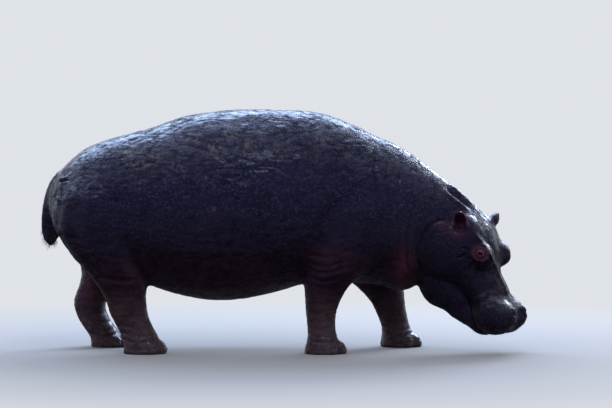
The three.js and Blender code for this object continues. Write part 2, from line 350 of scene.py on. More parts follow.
def add_toes(field):
    """Every toe melted into the field, within a small box of its own."""
    lines = body_lattice.lines()
    for toe in TOES:
        cuts = []
        for k in range(3):
            first = int((toe.middle[k] - TOE_BOX - body_lattice.low[k]) / BODY_STEP)
            cuts.append(slice(max(first, 0), first + int(2 * TOE_BOX / BODY_STEP)))
        cuts = tuple(cuts)
        x, y, z = np.meshgrid(*[line[cut] for line, cut in zip(lines, cuts)], indexing="ij")
        x = x - toe.middle.x
        y = y - toe.middle.y
        place = [x * toe.ahead.x + y * toe.ahead.y, x * toe.across.x + y * toe.across.y, z]
        radii = [radius * toe.size for radius in TOE_RADII]
        egg = ball_distance(place, (0, 0, TOE_HEIGHT), radii)
        field[cuts] = melted(field[cuts], egg, TOE_BLEND)


# %% [markdown]
# The barrel takes the broadest blur, the legs a middling one and the tail a slight one. From the
# barrel to the legs the one gives way to the other with the distance from the barrel.

# %% Blur each part by its own width
BARREL_BLUR, LIMB_BLUR, TAIL_BLUR = 0.058, 0.024, 0.011
OFF_BARREL = 0.085  # this far from the barrel only the limbs' blur counts
OFF_BARREL_BLUR = 0.02
TAIL_BLEND = 0.030

broad = softened(flesh, BARREL_BLUR, BODY_STEP)
middling = softened(flesh, LIMB_BLUR, BODY_STEP)
away = softened(ramp(barrel, 0.0, OFF_BARREL), OFF_BARREL_BLUR, BODY_STEP)
body_field = broad + (middling - broad) * away
body_field = melted(body_field, softened(tail - HAIRLINE, TAIL_BLUR, BODY_STEP), TAIL_BLEND)
add_toes(body_field)
body_field = np.maximum(body_field, -upward[None, None, :])
del broad, middling, away, limbs, flesh, barrel, tail
tell("body field")

# %% [markdown]
# ## The head's masses
#
# A sculptor blocks a head in with balls of clay. The same works here: egg-shaped masses in the
# head's own axes, melted into each other. They are the masses that the CAD head was made from,
# read at full smoothness instead of as facets. Those beside the middle are mirrored.

# %% The head's masses, in metres
MASS_BLEND = 0.062
SKULL = {
    "cranium": [(-0.170, 0, -0.090), (0.165, 0.165, 0.138)],
    "poll": [(-0.290, 0, -0.084), (0.115, 0.150, 0.125)],
    "forehead": [(-0.085, 0, -0.045), (0.190, 0.148, 0.092)],
    "snout": [(0.120, 0, -0.128), (0.230, 0.132, 0.106)],
    "bridge": [(0.265, 0, -0.140), (0.150, 0.126, 0.098)],
    "front of the muzzle": [(0.385, 0, -0.140), (0.098, 0.165, 0.098)],
    "brow": [(0.012, 0.134, -0.006), (0.078, 0.058, 0.064)],
    "temple": [(-0.165, 0.128, -0.028), (0.105, 0.058, 0.072)],
    "cheek": [(-0.120, 0.150, -0.230), (0.190, 0.102, 0.185)],
    "flesh below the eye": [(0.060, 0.105, -0.175), (0.160, 0.070, 0.085)],
    "lip pad": [(0.352, 0.122, -0.152), (0.120, 0.108, 0.096)],
    "nostril": [(0.402, 0.088, -0.068), (0.058, 0.046, 0.042)],
}
JAW = {
    "angle of the jaw": [(-0.080, 0.112, -0.315), (0.165, 0.102, 0.142)],
    "jowl": [(0.025, 0.098, -0.380), (0.135, 0.088, 0.118)],
    "side of the jaw": [(0.110, 0.092, -0.312), (0.200, 0.080, 0.104)],
    "floor of the mouth": [(0.060, 0, -0.305), (0.250, 0.110, 0.090)],
    "chin": [(0.325, 0, -0.265), (0.108, 0.158, 0.072)],
}


def block_in(masses, place):
    """All the masses of a list melted together."""
    field = None
    for (x, y, z), radii in masses.values():
        for side in (RIGHT, LEFT) if y else (BOTH,):
            mass = ball_distance(place, (x, side * y, z), radii)
            field = mass if field is None else melted(field, mass, MASS_BLEND)
    return field


def head_places(lattice, first=0):
    """The head's axes at every point of a lattice from its `first` layer along X."""
    x, y, z = lattice.lines()
    x = (x[first:] - HEAD_ORIGIN.x)[:, None, None]
    y = (y - HEAD_ORIGIN.y)[None, :, None]
    z = (z - HEAD_ORIGIN.z)[None, None, :]
    return [x * axis[0] + y * axis[1] + z * axis[2] for axis in HEAD_AXES]


# %% [markdown]
# ## Ears
#
# A hippopotamus has small round ears like scoops. Each is a leaf from its root to its tip, whose
# sides and tip curl towards the opening. It is made as a dense closed leaf and then melted into
# the head with everything else, so that it grows out of the skin without a seam.

# %% The ears
EAR_PLANS = {  # in the head's axes: where an ear grows, where it ends and which way it opens
    "ear_right": {
        "root": (-0.176, -0.140, -0.062),
        "tip": (-0.285, -0.232, 0.035),
        "opening": (0.42, -1, 0.05),
    },
    "ear_left": {
        "root": (-0.168, 0.130, -0.012),
        "tip": (-0.240, 0.214, 0.062),
        "opening": (0.9, 0.5, 0.2),
    },
}
EAR_HALF_WIDTH = 0.036
EAR_LEAF = 0.003  # half the leaf's thickness before it is swollen, which rounds its rim
EAR_SWELL = 0.0045
EAR_SET_BACK = 0.012
EAR_TIP_CURL = 0.030


def ear_section(t):
    """How far the leaf wraps round, its radius and how open it is, from its root, 0, to its tip, 1."""
    rounding = math.sqrt(max(1 - max((t - 0.40) / 0.60, 0) ** 2.2, 0)) * min(t / 0.05, 1)
    wrap = 2.35 - 1.15 * t
    half_width = EAR_HALF_WIDTH * (0.42 + 0.66 * math.sin(math.pi / 2 * min(t / 0.55, 1)))
    return wrap, half_width / math.sin(min(wrap, math.pi / 2)), rounding


def ear_leaf(plan, around=64, along=56):
    """A closed scoop, as world corners and triangles: a tube at its root that opens to its tip."""
    root = Vector(plan["root"])
    up = Vector(plan["tip"]) - root
    length = up.length
    up.normalize()
    across = up.cross(Vector(plan["opening"])).normalized()
    facing = across.cross(up)
    corners = []
    for i in range(along + 1):
        t = i / along
        wrap, radius, rounding = ear_section(t)
        for j in range(around):
            angle = 2 * math.pi * j / around
            turn = wrap * math.sin(angle) * rounding
            leaf = radius + EAR_LEAF * math.cos(angle) * rounding
            spot = root + up * length * t + across * (leaf * math.sin(turn))
            spot += facing * (radius - leaf * math.cos(turn) + EAR_TIP_CURL * t**4 - EAR_SET_BACK)
            corners.append(from_head(spot))
    triangles = []
    for i in range(along):
        for j in range(around):
            a = i * around + j
            b = i * around + (j + 1) % around
            triangles += [(a, b, b + around), (a, b + around, a + around)]
    return np.array(corners, np.float32), np.array(triangles, np.uint32)


# %% [markdown]
# Ears and nostrils need a lattice twice as fine as the barrel does. So the head gets one of its
# own, and the body's field is read off at its points. The body's lattice gets the coarse head
# too, so that both meshes have the same neck where they are joined.

# %% The head's field on a finer lattice
HEAD_STEP = 0.0044
HEAD_MARGIN = Vector((0.04, 0.03, 0.03))
NECK_BLEND = 0.040
NECK_BLUR = 0.004
MOUTH_BLEND = 0.010
EAR_BLUR = 0.0026
EAR_BLEND = 0.014
EAR_KNOB = 0.013  # the radius of the small lump at the foot of an ear's opening
EAR_KNOB_BLEND = 0.012
EMPTY = 0.1  # a distance that means nothing is near
CUT_X = 0.806  # the neck is joined to the finer head here
BREAST_Z = 0.315  # everything ahead of the cut and below this is foreleg, not neck

head_boxes = [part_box(node) for node in ("head", "lower_jaw", "ear_right", "ear_left")]
head_low = Vector(np.min([low for low, high in head_boxes], axis=0))
head_high = Vector(np.max([high for low, high in head_boxes], axis=0))
neck_low, neck_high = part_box("neck")
head_low = Vector((CUT_X - 0.03, min(head_low.y, neck_low.y), head_low.z)) - HEAD_MARGIN * Vector((0, 1, 1))
head_high = Vector((head_high.x, max(head_high.y, neck_high.y), neck_high.z)) + HEAD_MARGIN
head_lattice = Lattice(head_low, head_high, HEAD_STEP)


def head_field_on(lattice, first=0):
    """Skull and jaw, with the line of the mouth between them."""
    place = head_places(lattice, first)
    return melted(block_in(SKULL, place), block_in(JAW, place), MOUTH_BLEND)


def with_ears(field):
    """The head's field with both ears melted in."""
    place = head_places(head_lattice)
    for plan in EAR_PLANS.values():
        leaf = head_lattice.distance(*ear_leaf(plan), 0.03)
        field = melted(field, softened(leaf, EAR_BLUR, HEAD_STEP) - EAR_SWELL, EAR_BLEND)
        opening = Vector(plan["opening"]).normalized()
        knob = Vector(plan["root"]).lerp(Vector(plan["tip"]), 0.30) + opening * 0.010
        field = melted(field, ball_distance(place, knob, [EAR_KNOB] * 3), EAR_KNOB_BLEND)
    return field


neck_field = softened(resampled(body_field, body_lattice, head_lattice), NECK_BLUR, HEAD_STEP)
neck_field[:, :, head_lattice.lines()[2] < BREAST_Z] = EMPTY
head_field = with_ears(melted(head_field_on(head_lattice), neck_field, NECK_BLEND))
tell("head lattice", head_lattice.shape)

first = int((CUT_X - 0.10 - body_lattice.low[0]) / BODY_STEP)
front = head_field_on(body_lattice, first)
front[body_lattice.lines()[0][first:] > CUT_X + 0.05] = EMPTY
body_field[first:] = melted(front, body_field[first:], NECK_BLEND)
tell("fields ready")

# %% [markdown]
# ## From fields to one mesh
#
# The body is meshed on its coarse lattice and the head on its fine one, and each is cut off
# square at the neck. Both cuts are nearly the same oval, so a strip of triangles zips them
# together: it walks round both rims and always takes the nearer next corner.


# %% Mesh, cut and zip
def cut_off(points, quads, at, keep):
    """A closed mesh cut by a plane across X, keeping one side; below the breast it isn't cut."""
    mesh = bpy.data.meshes.new("cut")
    mesh.from_pydata(points, [], quads)
    bm = bmesh.new()
    bm.from_mesh(mesh)
    bpy.data.meshes.remove(mesh)
    crossed = []
    for face in bm.faces:
        xs = [corner.co.x for corner in face.verts]
        low_down = keep < 0 and face.verts[0].co.z < BREAST_Z
        if min(xs) <= at <= max(xs) and not low_down:
            crossed.append(face)
    geometry = list({e for face in crossed for e in face.edges}) + crossed
    bmesh.ops.bisect_plane(bm, geom=geometry, dist=1e-6, plane_co=(at, 0, 0), plane_no=(1, 0, 0))
    gone = []
    for face in bm.faces:
        middle = face.calc_center_median()
        if (middle.x - at) * keep < 0 and (keep > 0 or middle.z > BREAST_Z - 0.01):
            gone.append(face)
    bmesh.ops.delete(bm, geom=gone, context="FACES")
    rim = [v for v in bm.verts if any(len(edge.link_faces) == 1 for edge in v.link_edges)]
    print("a rim of", len(rim), "corners")
    return bm


skin_bm = cut_off(*body_lattice.surface(body_field), CUT_X - BODY_STEP / 2, -1)
head_bm = cut_off(*head_lattice.surface(head_field), CUT_X + BODY_STEP / 2, 1)
del body_field, head_field, neck_field, front
spare = bpy.data.meshes.new("spare")
head_bm.to_mesh(spare)
head_bm.free()
skin_bm.from_mesh(spare)
bpy.data.meshes.remove(spare)


def zip_rims(bm, at):
    """A strip of triangles between the two rims on either side of a cut across X."""
    rims = [[], []]
    for corner in bm.verts:
        if corner.is_boundary:
            rims[int(corner.co.x > at)].append(corner)
    middle = sum((corner.co for corner in rims[0]), Vector()) / len(rims[0])
    angles = []
    for rim in rims:
        rim.sort(key=lambda corner: math.atan2(corner.co.z - middle.z, corner.co.y - middle.y))
        turns = [math.atan2(corner.co.z - middle.z, corner.co.y - middle.y) for corner in rim]
        angles.append(turns + [turns[0] + 2 * math.pi])
    at_rim = [0, 0]
    while at_rim[0] < len(rims[0]) or at_rim[1] < len(rims[1]):
        ahead = [angles[k][min(at_rim[k] + 1, len(rims[k]))] for k in (0, 1)]
        first_is_next = at_rim[0] < len(rims[0]) and ahead[0] <= ahead[1]
        step = 0 if at_rim[1] >= len(rims[1]) or first_is_next else 1
        ends = [rims[k][at_rim[k] % len(rims[k])] for k in (0, 1)]
        ends.append(rims[step][(at_rim[step] + 1) % len(rims[step])])
        face = bm.faces.new(ends)
        face.normal_update()
        if face.normal.dot(face.calc_center_median() - middle) < 0:
            face.normal_flip()
        at_rim[step] += 1
    return len(rims[0]) + len(rims[1])


tell("zipped by", zip_rims(skin_bm, CUT_X), "triangles")

# %% [markdown]
# ## Finer corners round the eyes
#
# The lids need smaller faces than the cheeks. Splitting only the edges near an eye adds them
# where they show and nowhere else.


# %% Split the edges near each eye
def split_near(bm, middle, reach):
    near = [edge for edge in bm.edges if all((corner.co - middle).length < reach for corner in edge.verts)]
    bmesh.ops.subdivide_edges(bm, edges=near, cuts=1, use_grid_fill=True)


for eye in EYES.values():
    for reach in (0.078, 0.046):
        split_near(skin_bm, eye, reach)
skin_mesh = bpy.data.meshes.new("skin")
skin_bm.to_mesh(skin_mesh)
skin_bm.free()
skin = put_in_scene("skin", skin_mesh)
for polygon in skin_mesh.polygons:
    polygon.use_smooth = True
tell("skin of", len(skin_mesh.polygons), "faces")

# %% [markdown]
# From here on the mesh keeps its faces and only its corners move. Moving 300,000 corners one at
# a time is slow in Python, so they are read into an array, moved all at once and written back. A
# lattice leaves fine ripples on a surface, and a few rounds of smoothing take them off first.


# %% The skin's corners as arrays
def normals_of(mesh, points):
    """Unit normals of a mesh with its corners set to these points."""
    mesh.vertices.foreach_set("co", points.ravel())
    mesh.update()
    return read_all(mesh.vertices, "normal", 3)


class Neighbours:
    """The corners that share an edge with each corner."""

    def __init__(self, mesh):
        pairs = read_all(mesh.edges, "vertices", 2, np.int32)
        both = np.concatenate([pairs, pairs[:, ::-1]])
        order = np.argsort(both[:, 0], kind="stable")
        self.near = both[order, 1]
        self.counts = np.bincount(both[:, 0], minlength=len(mesh.vertices)).astype(np.float32)
        self.starts = np.concatenate([[0], np.cumsum(self.counts)[:-1]]).astype(np.int64)

    def mean(self, values):
        return np.add.reduceat(values[self.near], self.starts, axis=0) / self.counts[:, None]

    def without_ripples(self, points, times, inwards=0.55, outwards=0.565):
        """Smoothing that doesn't shrink: a step inwards and a slightly larger one back."""
        for _ in range(times):
            points = points + (self.mean(points) - points) * inwards
            points = points - (self.mean(points) - points) * outwards
        return points


points = Neighbours(skin_mesh).without_ripples(read_all(skin_mesh.vertices, "co", 3), 10)
normals = normals_of(skin_mesh, points)
tell("smoothed", len(points), "corners")

# %% [markdown]
# ## Lids
#
# The lids are the part of a face that people look at first. Round each eye the skin is a height
# above the middle of the eyeball. There it is raised into a shell over the ball, wrinkled in
# rings, and opened in an almond through which the eyeball shows. Moving the corners that are
# already there keeps the lids part of the one skin.

# %% The way an eye looks
GAZE = (0.16, 1.0, 0.26)
EYE_TILT = math.radians(43)  # the line through the corners of the eye rises this far from the muzzle


def gaze_axes(side):
    """The way an eye looks, the way to its front corner and the way to its upper lid."""
    gaze = (from_head((GAZE[0], GAZE[1] * side, GAZE[2])) - HEAD_ORIGIN).normalized()
    fore = HEAD_AHEAD * math.cos(EYE_TILT) + HEAD_UP * math.sin(EYE_TILT)
    fore = (fore - gaze * fore.dot(gaze)).normalized()
    brow = gaze.cross(fore) * -side
    return gaze, fore, brow


# %% [markdown]
# The numbers below are metres across an eye. Folds run round it in rings, with one deeper fold
# over the upper lid. The folds, the lids' edge and one dark ring get painted shade, and the glow
# values say how pink the lids' edges and the rings become.

# %% Shape the lids
LID = 0.0038
EYE_OPENING = (0.0145, 0.0102)  # half its length and half its height
OPENING_DEPTH = 0.002
LID_BLEND = 0.010
SOCKET = (0.037, 0.010, 0.006)  # radius, width and depth of the hollow round the lids
RING_FIRST, RING_APART, RING_DEPTH = 0.0215, 0.0086, 0.0020
RING_LENGTH = 1.22  # how much longer than high the rings are
UPPER_FOLD = (0.0290, 0.0020, 0.0022)  # radius, width and depth of the fold over the upper lid
DARK_RING = (0.0250, 0.0030)  # radius and width
LID_EDGE_GLOW, RINGS_GLOW = 0.35, 0.80


def bell(values, middle, width):
    """1 at the middle, falling off smoothly over the width to each side."""
    return np.exp(-(((values - middle) / width) ** 2))


def shape_lids(side):
    """Raises, wrinkles and opens the skin over one eye, marks painted shade in its folds, and gives back how
    pink each corner becomes.
    """
    gaze, fore, brow = [np.array(axis, np.float32) for axis in gaze_axes(side)]
    offset = points - np.array(EYES[side], np.float32)
    out, ahead, up = offset @ gaze, offset @ fore, offset @ brow
    apart = np.hypot(ahead, up)
    index = np.flatnonzero((apart < 0.07) & (out > -0.03))
    out, ahead, up, apart = out[index], ahead[index], up[index], apart[index]

    # The shell over the eyeball melts into the skin round it, which is hollowed a little.
    shell = np.sqrt(np.maximum((EYE_RADIUS + LID) ** 2 - apart**2, 0))
    hollowed = SOCKET[2] * bell(apart, SOCKET[0], SOCKET[1]) * (1 - ramp(apart, 0.034, 0.062))
    height = -melted(-shell, hollowed - out, LID_BLEND)

    # Rings of folds run round the eye, a little oval and a little uneven.
    turn = np.arctan2(up, ahead)
    ring = np.hypot(ahead / RING_LENGTH, up) + 0.0011 * np.sin(3 * turn + 1) + 0.0006 * np.sin(7 * turn)
    folds = 0.5 + 0.5 * np.cos(2 * math.pi * (ring - RING_FIRST) / RING_APART)
    on_rings = ramp(ring, 0.020, 0.026) * (1 - ramp(ring, 0.044, 0.060))
    height -= RING_DEPTH * folds * on_rings
    height -= UPPER_FOLD[2] * bell(ring, UPPER_FOLD[0], UPPER_FOLD[1]) * ramp(up, -0.004, 0.010)

    # The lids part in an almond, through which the eyeball shows.
    opening = (np.abs(ahead) / EYE_OPENING[0]) ** 1.7 + (np.abs(up) / EYE_OPENING[1]) ** 2
    opened = 1 - ramp(opening, 0.86, 1.16)
    height += (-OPENING_DEPTH - height) * opened
    change = (height - out) * np.where(opened > 0, 1, 1 - ramp(apart, 0.050, 0.066))
    points[index] += change[:, None] * gaze

    # Painted shade: the bottoms of the rings' folds, the lids' edge and one dark ring round the eye.
    ring_shade[index] = folds**2 * on_rings
    ring_shade[index] += 0.8 * bell(opening, 1.05, 0.4) + 0.9 * bell(ring, *DARK_RING)
    glow = np.zeros(len(points), np.float32)
    glow[index] = bell(np.maximum(opening - 1, 0), 0, 1.6) * LID_EDGE_GLOW
    glow[index] += RINGS_GLOW * (1 - ramp(ring, 0.034, 0.054))
    return glow


flush = np.zeros(len(points), np.float32)  # how pink the skin is at each corner
# painted shade in the folds round the eyes and along the lids' edges
ring_shade = np.zeros(len(points), np.float32)  # the folds round the eyes
for side in (RIGHT, LEFT):
    flush = np.maximum(flush, shape_lids(side))
normals = normals_of(skin_mesh, points)
tell("lids over", int((flush > 0.1).sum()), "corners")

# %% [markdown]
# ## Creases
#
# Folds could be sculpted with a brush. In code a fold is a line drawn on a view of the animal,
# from the side or from above, and pressed into the skin: every corner near the line moves in
# along its own normal, and those just beside it rise into a soft lip. Each pressed line is also
# kept as fold shade: the colour is darkened inside the fold, as painted shade.

# %% The press
head_points = to_head(points)
head_normals = normals @ HEAD_AXES.T
VIEWS = {  # across, up and outwards in each view, of the corners and of their normals
    "side": (points[:, 0], points[:, 2], normals[:, 1]),
    "head side": (head_points[:, 0], head_points[:, 2], head_normals[:, 1]),
    "head above": (head_points[:, 0], head_points[:, 1], head_normals[:, 2]),
}
rise = np.zeros(len(points), np.float32)
# how much painted shade each corner gets in folds, wrinkles, the mouth's line and round the eyes
fold_shade = np.zeros(len(points), np.float32)


def rounded_path(path, between=8):
    """A line of points as one smooth curve."""
    path = np.array(path, np.float32)
    ends = np.concatenate([2 * path[:1] - path[1:2], path, 2 * path[-1:] - path[-2:-1]])
    spots = []
    for i in range(1, len(ends) - 2):
        for t in np.arange(between, dtype=np.float32) / between:
            a, b, c, d = ends[i - 1 : i + 3]
            bend = (2 * a - 5 * b + 4 * c - d) * t**2
            bend += (3 * b - a - 3 * c + d) * t**3
            spots.append(0.5 * (2 * b + (c - a) * t + bend))
    return np.array([*spots, path[-1]])


def distance_to_path(across, up, path):
    """How far each corner is from a line in a view, how far along it, and the line's length."""
    nearest = np.full(len(across), 1e3, np.float32)
    along = np.zeros(len(across), np.float32)
    travelled = 0.0
    for (ax, ay), (bx, by) in zip(path[:-1], path[1:]):
        length = max(math.hypot(bx - ax, by - ay), 1e-6)
        share = ((across - ax) * (bx - ax) + (up - ay) * (by - ay)) / length**2
        share = np.clip(share, 0, 1)
        apart = np.hypot(across - ax - share * (bx - ax), up - ay - share * (by - ay))
        closer = apart < nearest
        nearest[closer] = apart[closer]
        along[closer] = travelled + share[closer] * length
        travelled += length
    return nearest, along, travelled


DEEP_FOLD = 0.007  # a fold as deep as this is as dark as folds get


def press(view, side, path, depth, width, lip=0.35):
    """A crease along a path on one side of a view; a negative depth raises a ridge."""
    across, up, outward = VIEWS[view]
    reach = 5 * width
    path = rounded_path(path)
    low, high = path.min(0) - reach, path.max(0) + reach
    near = (across > low[0]) & (across < high[0]) & (up > low[1]) & (up < high[1])
    near &= outward * side > 0.05
    index = np.flatnonzero(near)
    apart, along, length = distance_to_path(across[index], up[index], path)
    ends = min(0.30 * length, 0.08)
    fade = ramp(along, 0, ends) * ramp(length - along, 0, ends)
    fade = fade * ramp(np.abs(outward[index]), 0.05, 0.35)
    line = bell(apart, 0, width)
    rise[index] += depth * fade * (lip * bell(apart, 2.1 * width, width) - line)
    # A pressed fold also gets painted shade inside it, the deeper the darker.
    if depth > 0:
        fold_shade[index] = np.maximum(fold_shade[index], line * fade * min(depth / DEEP_FOLD, 1))


# %% [markdown]
# ## Folds of the head and neck
#
# The head hangs from the neck by a heavy cheek, with one deep crease behind it. The neck has a
# groove beside its crest, where the skin bunches as the head turns. The nostrils are slits on
# two low bumps, and a ridge runs from above each eye down the edge of the snout.

# %% Press the folds of both sides
for side in (RIGHT, LEFT):
    press("side", side, [(0.572, 1.28), (0.568, 1.15), (0.574, 1.05), (0.580, 0.95)], 0.008, 0.011)
    press("side", side, [(0.652, 1.22), (0.640, 1.10), (0.644, 0.98), (0.655, 0.86)], 0.005, 0.010)
    press("side", side, [(0.735, 1.16), (0.716, 1.05), (0.712, 0.94)], 0.005, 0.010)
    nostril = [(0.372, 0.070), (0.398, 0.074), (0.420, 0.088), (0.424, 0.108)]
    press("head above", 1, [(ahead, out * side) for ahead, out in nostril], 0.020, 0.0075, 0.5)
    press("head side", side, [(0.02, -0.060), (-0.03, -0.10), (-0.05, -0.16)], 0.004, 0.008)
    press("head side", side, [(0.05, -0.055), (0.04, -0.11), (0.05, -0.16)], 0.003, 0.008)

# %% [markdown]
# The animal bends to its right, so most of its folds are on that side: the crease behind the
# cheek, small ones behind the eye, the crest's groove, and a slit with a pale ridge and a shallow
# dip below it where the tail begins. The left cheek has one long crease of its own.

# %% Press the folds of one side
BEHIND_CHEEK = [
    (1.03, 0.83),
    (0.956, 0.818),
    (0.896, 0.772),
    (0.862, 0.715),
    (0.840, 0.64),
    (0.838, 0.56),
    (0.87, 0.48),
]
BEHIND_LEFT_CHEEK = [(1.15, 0.86), (1.06, 0.83), (0.98, 0.76), (0.95, 0.66), (0.95, 0.56)]
CREST_GROOVE = [(1.00, 1.045), (1.063, 0.985), (1.112, 0.946), (1.155, 0.909), (1.190, 0.880)]
SNOUT_EDGE = [
    (1.152, 0.776),
    (1.226, 0.690),
    (1.275, 0.612),
    (1.318, 0.530),
    (1.360, 0.440),
    (1.400, 0.350),
]
CHEEK_FOLDS = [
    [(1.222, 0.600), (1.207, 0.560), (1.195, 0.505), (1.180, 0.455)],
    [(1.178, 0.585), (1.158, 0.540), (1.146, 0.490)],
    [(1.150, 0.640), (1.118, 0.655), (1.085, 0.650)],
    [(1.146, 0.612), (1.112, 0.612), (1.080, 0.596)],
]
press("side", RIGHT, BEHIND_CHEEK, 0.007, 0.013, 0.2)
press("side", RIGHT, [(0.80, 0.84), (0.772, 0.72), (0.770, 0.58), (0.79, 0.47)], 0.006, 0.012)
press("side", RIGHT, [(0.735, 0.80), (0.712, 0.66), (0.715, 0.52)], 0.005, 0.012)
press("side", RIGHT, [(1.058, 0.782), (1.085, 0.770), (1.112, 0.776)], 0.005, 0.006, 0.6)
press("side", RIGHT, [(1.050, 0.765), (1.085, 0.750), (1.120, 0.758)], 0.004, 0.006, 0.6)
press("side", LEFT, BEHIND_LEFT_CHEEK, 0.012, 0.012)
press("side", RIGHT, CREST_GROOVE, 0.013, 0.013, 0.8)
press("side", RIGHT, [(-1.388, 1.056), (-1.352, 1.064), (-1.312, 1.076)], 0.016, 0.007)
press("side", RIGHT, [(-1.366, 1.045), (-1.374, 0.99), (-1.374, 0.91)], -0.010, 0.007)
press("side", RIGHT, [(-1.352, 1.040), (-1.358, 0.98), (-1.356, 0.90)], 0.007, 0.008, 0.0)
for fold in CHEEK_FOLDS:
    press("side", RIGHT, fold, 0.0050, 0.0075, 0.6)
press("side", RIGHT, SNOUT_EDGE, -0.0075, 0.010, 0.0)
press("side", RIGHT, [(x + 0.028, z + 0.014) for x, z in SNOUT_EDGE], 0.0080, 0.014, 0.0)
tell("folds over", int((fold_shade > 0.3).sum()), "corners")

# %% [markdown]
# The mouth is where the skull's masses and the jaw's are equally near, so that line needs no
# drawing: the difference of the two distances finds it, right round the muzzle.

# %% The line of the mouth
LIP_WIDTH, LIP_DEPTH = 0.010, 0.009
front_part = np.flatnonzero(points[:, 0] > CUT_X)
place = list(head_points[front_part].T)
skull_gap, jaw_gap = block_in(SKULL, place), block_in(JAW, place)
lips = bell(skull_gap - jaw_gap, 0, LIP_WIDTH) * ramp(place[0], -0.10, 0.02)
rise[front_part] -= LIP_DEPTH * lips
# The mouth's line gets painted shade too.
fold_shade[front_part] = np.maximum(fold_shade[front_part], lips)
on_head = np.zeros(len(points), np.float32)
on_head[front_part] = 1 - ramp(np.minimum(skull_gap, jaw_gap), 0.002, 0.030)
print("corners on the head", int((on_head > 0.5).sum()))

# %% [markdown]
# ## Folds of the legs and rump
#
# Thick skin gathers in level rings above each foot, in bowed folds over the elbow, and in two
# slack folds where the belly meets the thigh.

# %% Press the folds of the legs
HEEL_BEHIND_TOES = 0.075
ANKLE_SLANT = 0.014
ANKLE_RINGS = ((0.088, 0.0045), (0.118, 0.003), (0.170, 0.003))  # heights and depths
ELBOW_FOLDS = ((0.0, 0.005), (0.052, 0.004), (0.088, 0.004), (0.145, 0.003))  # lifts and depths


def press_ankle_rings(leg):
    """Level rings above one foot, on the outside and the inside of the leg."""
    toes = [toe.middle for toe in TOES if toe.node.startswith(leg.replace("leg", "nail"))]
    heel_x = sum(spot.x for spot in toes) / len(toes) - HEEL_BEHIND_TOES
    for height, depth in ANKLE_RINGS:
        for outward in (RIGHT, LEFT):
            slant = ANKLE_SLANT * outward * math.sin(40 * height + heel_x)
            back = (heel_x - 0.16, height + 0.02 + slant)
            front = (heel_x + 0.17, height + 0.03 - slant)
            press("side", outward, [back, (heel_x, height - 0.010), front], depth, 0.008, 0.3)


for leg in LEGS:
    press_ankle_rings(leg)
elbow_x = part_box("leg_front_right")[0].x
for lift, depth in ELBOW_FOLDS:
    fold = [(elbow_x - 0.01, 0.50 + lift), (elbow_x + 0.13, 0.455 + lift), (elbow_x + 0.30, 0.50 + lift)]
    press("side", RIGHT, fold, depth, 0.010, 0.4)
    fold = [(0.30, 0.50 + lift), (0.50, 0.455 + lift), (0.72, 0.52 + lift)]
    press("side", LEFT, fold, 0.7 * depth, 0.013, 0.3)
for side in (RIGHT, LEFT):
    press("side", side, [(-0.80, 0.43), (-0.86, 0.52), (-0.93, 0.64), (-0.97, 0.76)], 0.010, 0.030, 0.3)
    press("side", side, [(-1.20, 0.52), (-1.10, 0.48), (-0.98, 0.46), (-0.86, 0.47)], 0.005, 0.013, 0.5)
tell("with the legs' folds", int((fold_shade > 0.3).sum()), "corners")

# %% [markdown]
# ## Wrinkles everywhere
#
# Between the big folds the hide is never smooth. A noise field passes zero along wandering
# lines, and pressing those lines in gives a net of wrinkles. Stretching the noise before reading
# it makes them run one way: level on the flank and legs, and round the neck.


# %% Noise and wrinkles
CELL_PRIMES = (73856093, 19349663, 83492791)
STIRS = ((13, 1274126177), (15, 668265263))
LOW_31_BITS = 0x7FFFFFFF


def scrambled(cell):
    """A number for each cell that looks like chance, but is the same on every run."""
    mixed = cell[:, 0] * CELL_PRIMES[0] ^ cell[:, 1] * CELL_PRIMES[1] ^ cell[:, 2] * CELL_PRIMES[2]
    for shift, factor in STIRS:
        mixed = (mixed ^ (mixed >> shift)) * factor & LOW_31_BITS
    return mixed


def noise(spots, seed):
    """Smooth noise, mostly from -1 to 1, whose lumps are about one unit across."""
    spots = spots + seed * 13.7
    cell = np.floor(spots).astype(np.int64)
    share = (spots - cell).astype(np.float32)
    fade = share * share * share * (share * (share * 6 - 15) + 10)
    total = np.zeros(len(spots), np.float32)
    for corner in [(i, j, k) for i in (0, 1) for j in (0, 1) for k in (0, 1)]:
        mixed = scrambled(cell + corner)
        slope = np.zeros(len(spots), np.float32)
        for k in range(3):
            lean = ((mixed >> (4 + 8 * k)) & 0xFF) / 127.5 - 1
            slope += (lean * (share[:, k] - corner[k])).astype(np.float32)
        weight = np.prod(np.where(corner, fade, 1 - fade), axis=1)
        total += 1.6 * slope * weight
    return total


def wrinkles(size, seed, sharpness):
    """1 on the lines where a noise, with lumps of this size along each axis, passes zero."""
    spots = points / np.array(size, np.float32)
    bent = spots + 0.7 * np.stack([noise(spots * 0.55, seed + k) for k in (1, 2, 3)], 1)
    return np.exp(-((noise(bent, seed) * sharpness) ** 2))


# %% [markdown]
# Each part of the body has wrinkles of its own size and lie, and so each is given a weight: 1
# on that part, 0 off it and a smooth change between. Slow lumps come first, as flesh under the
# hide, and then the nets of wrinkles.

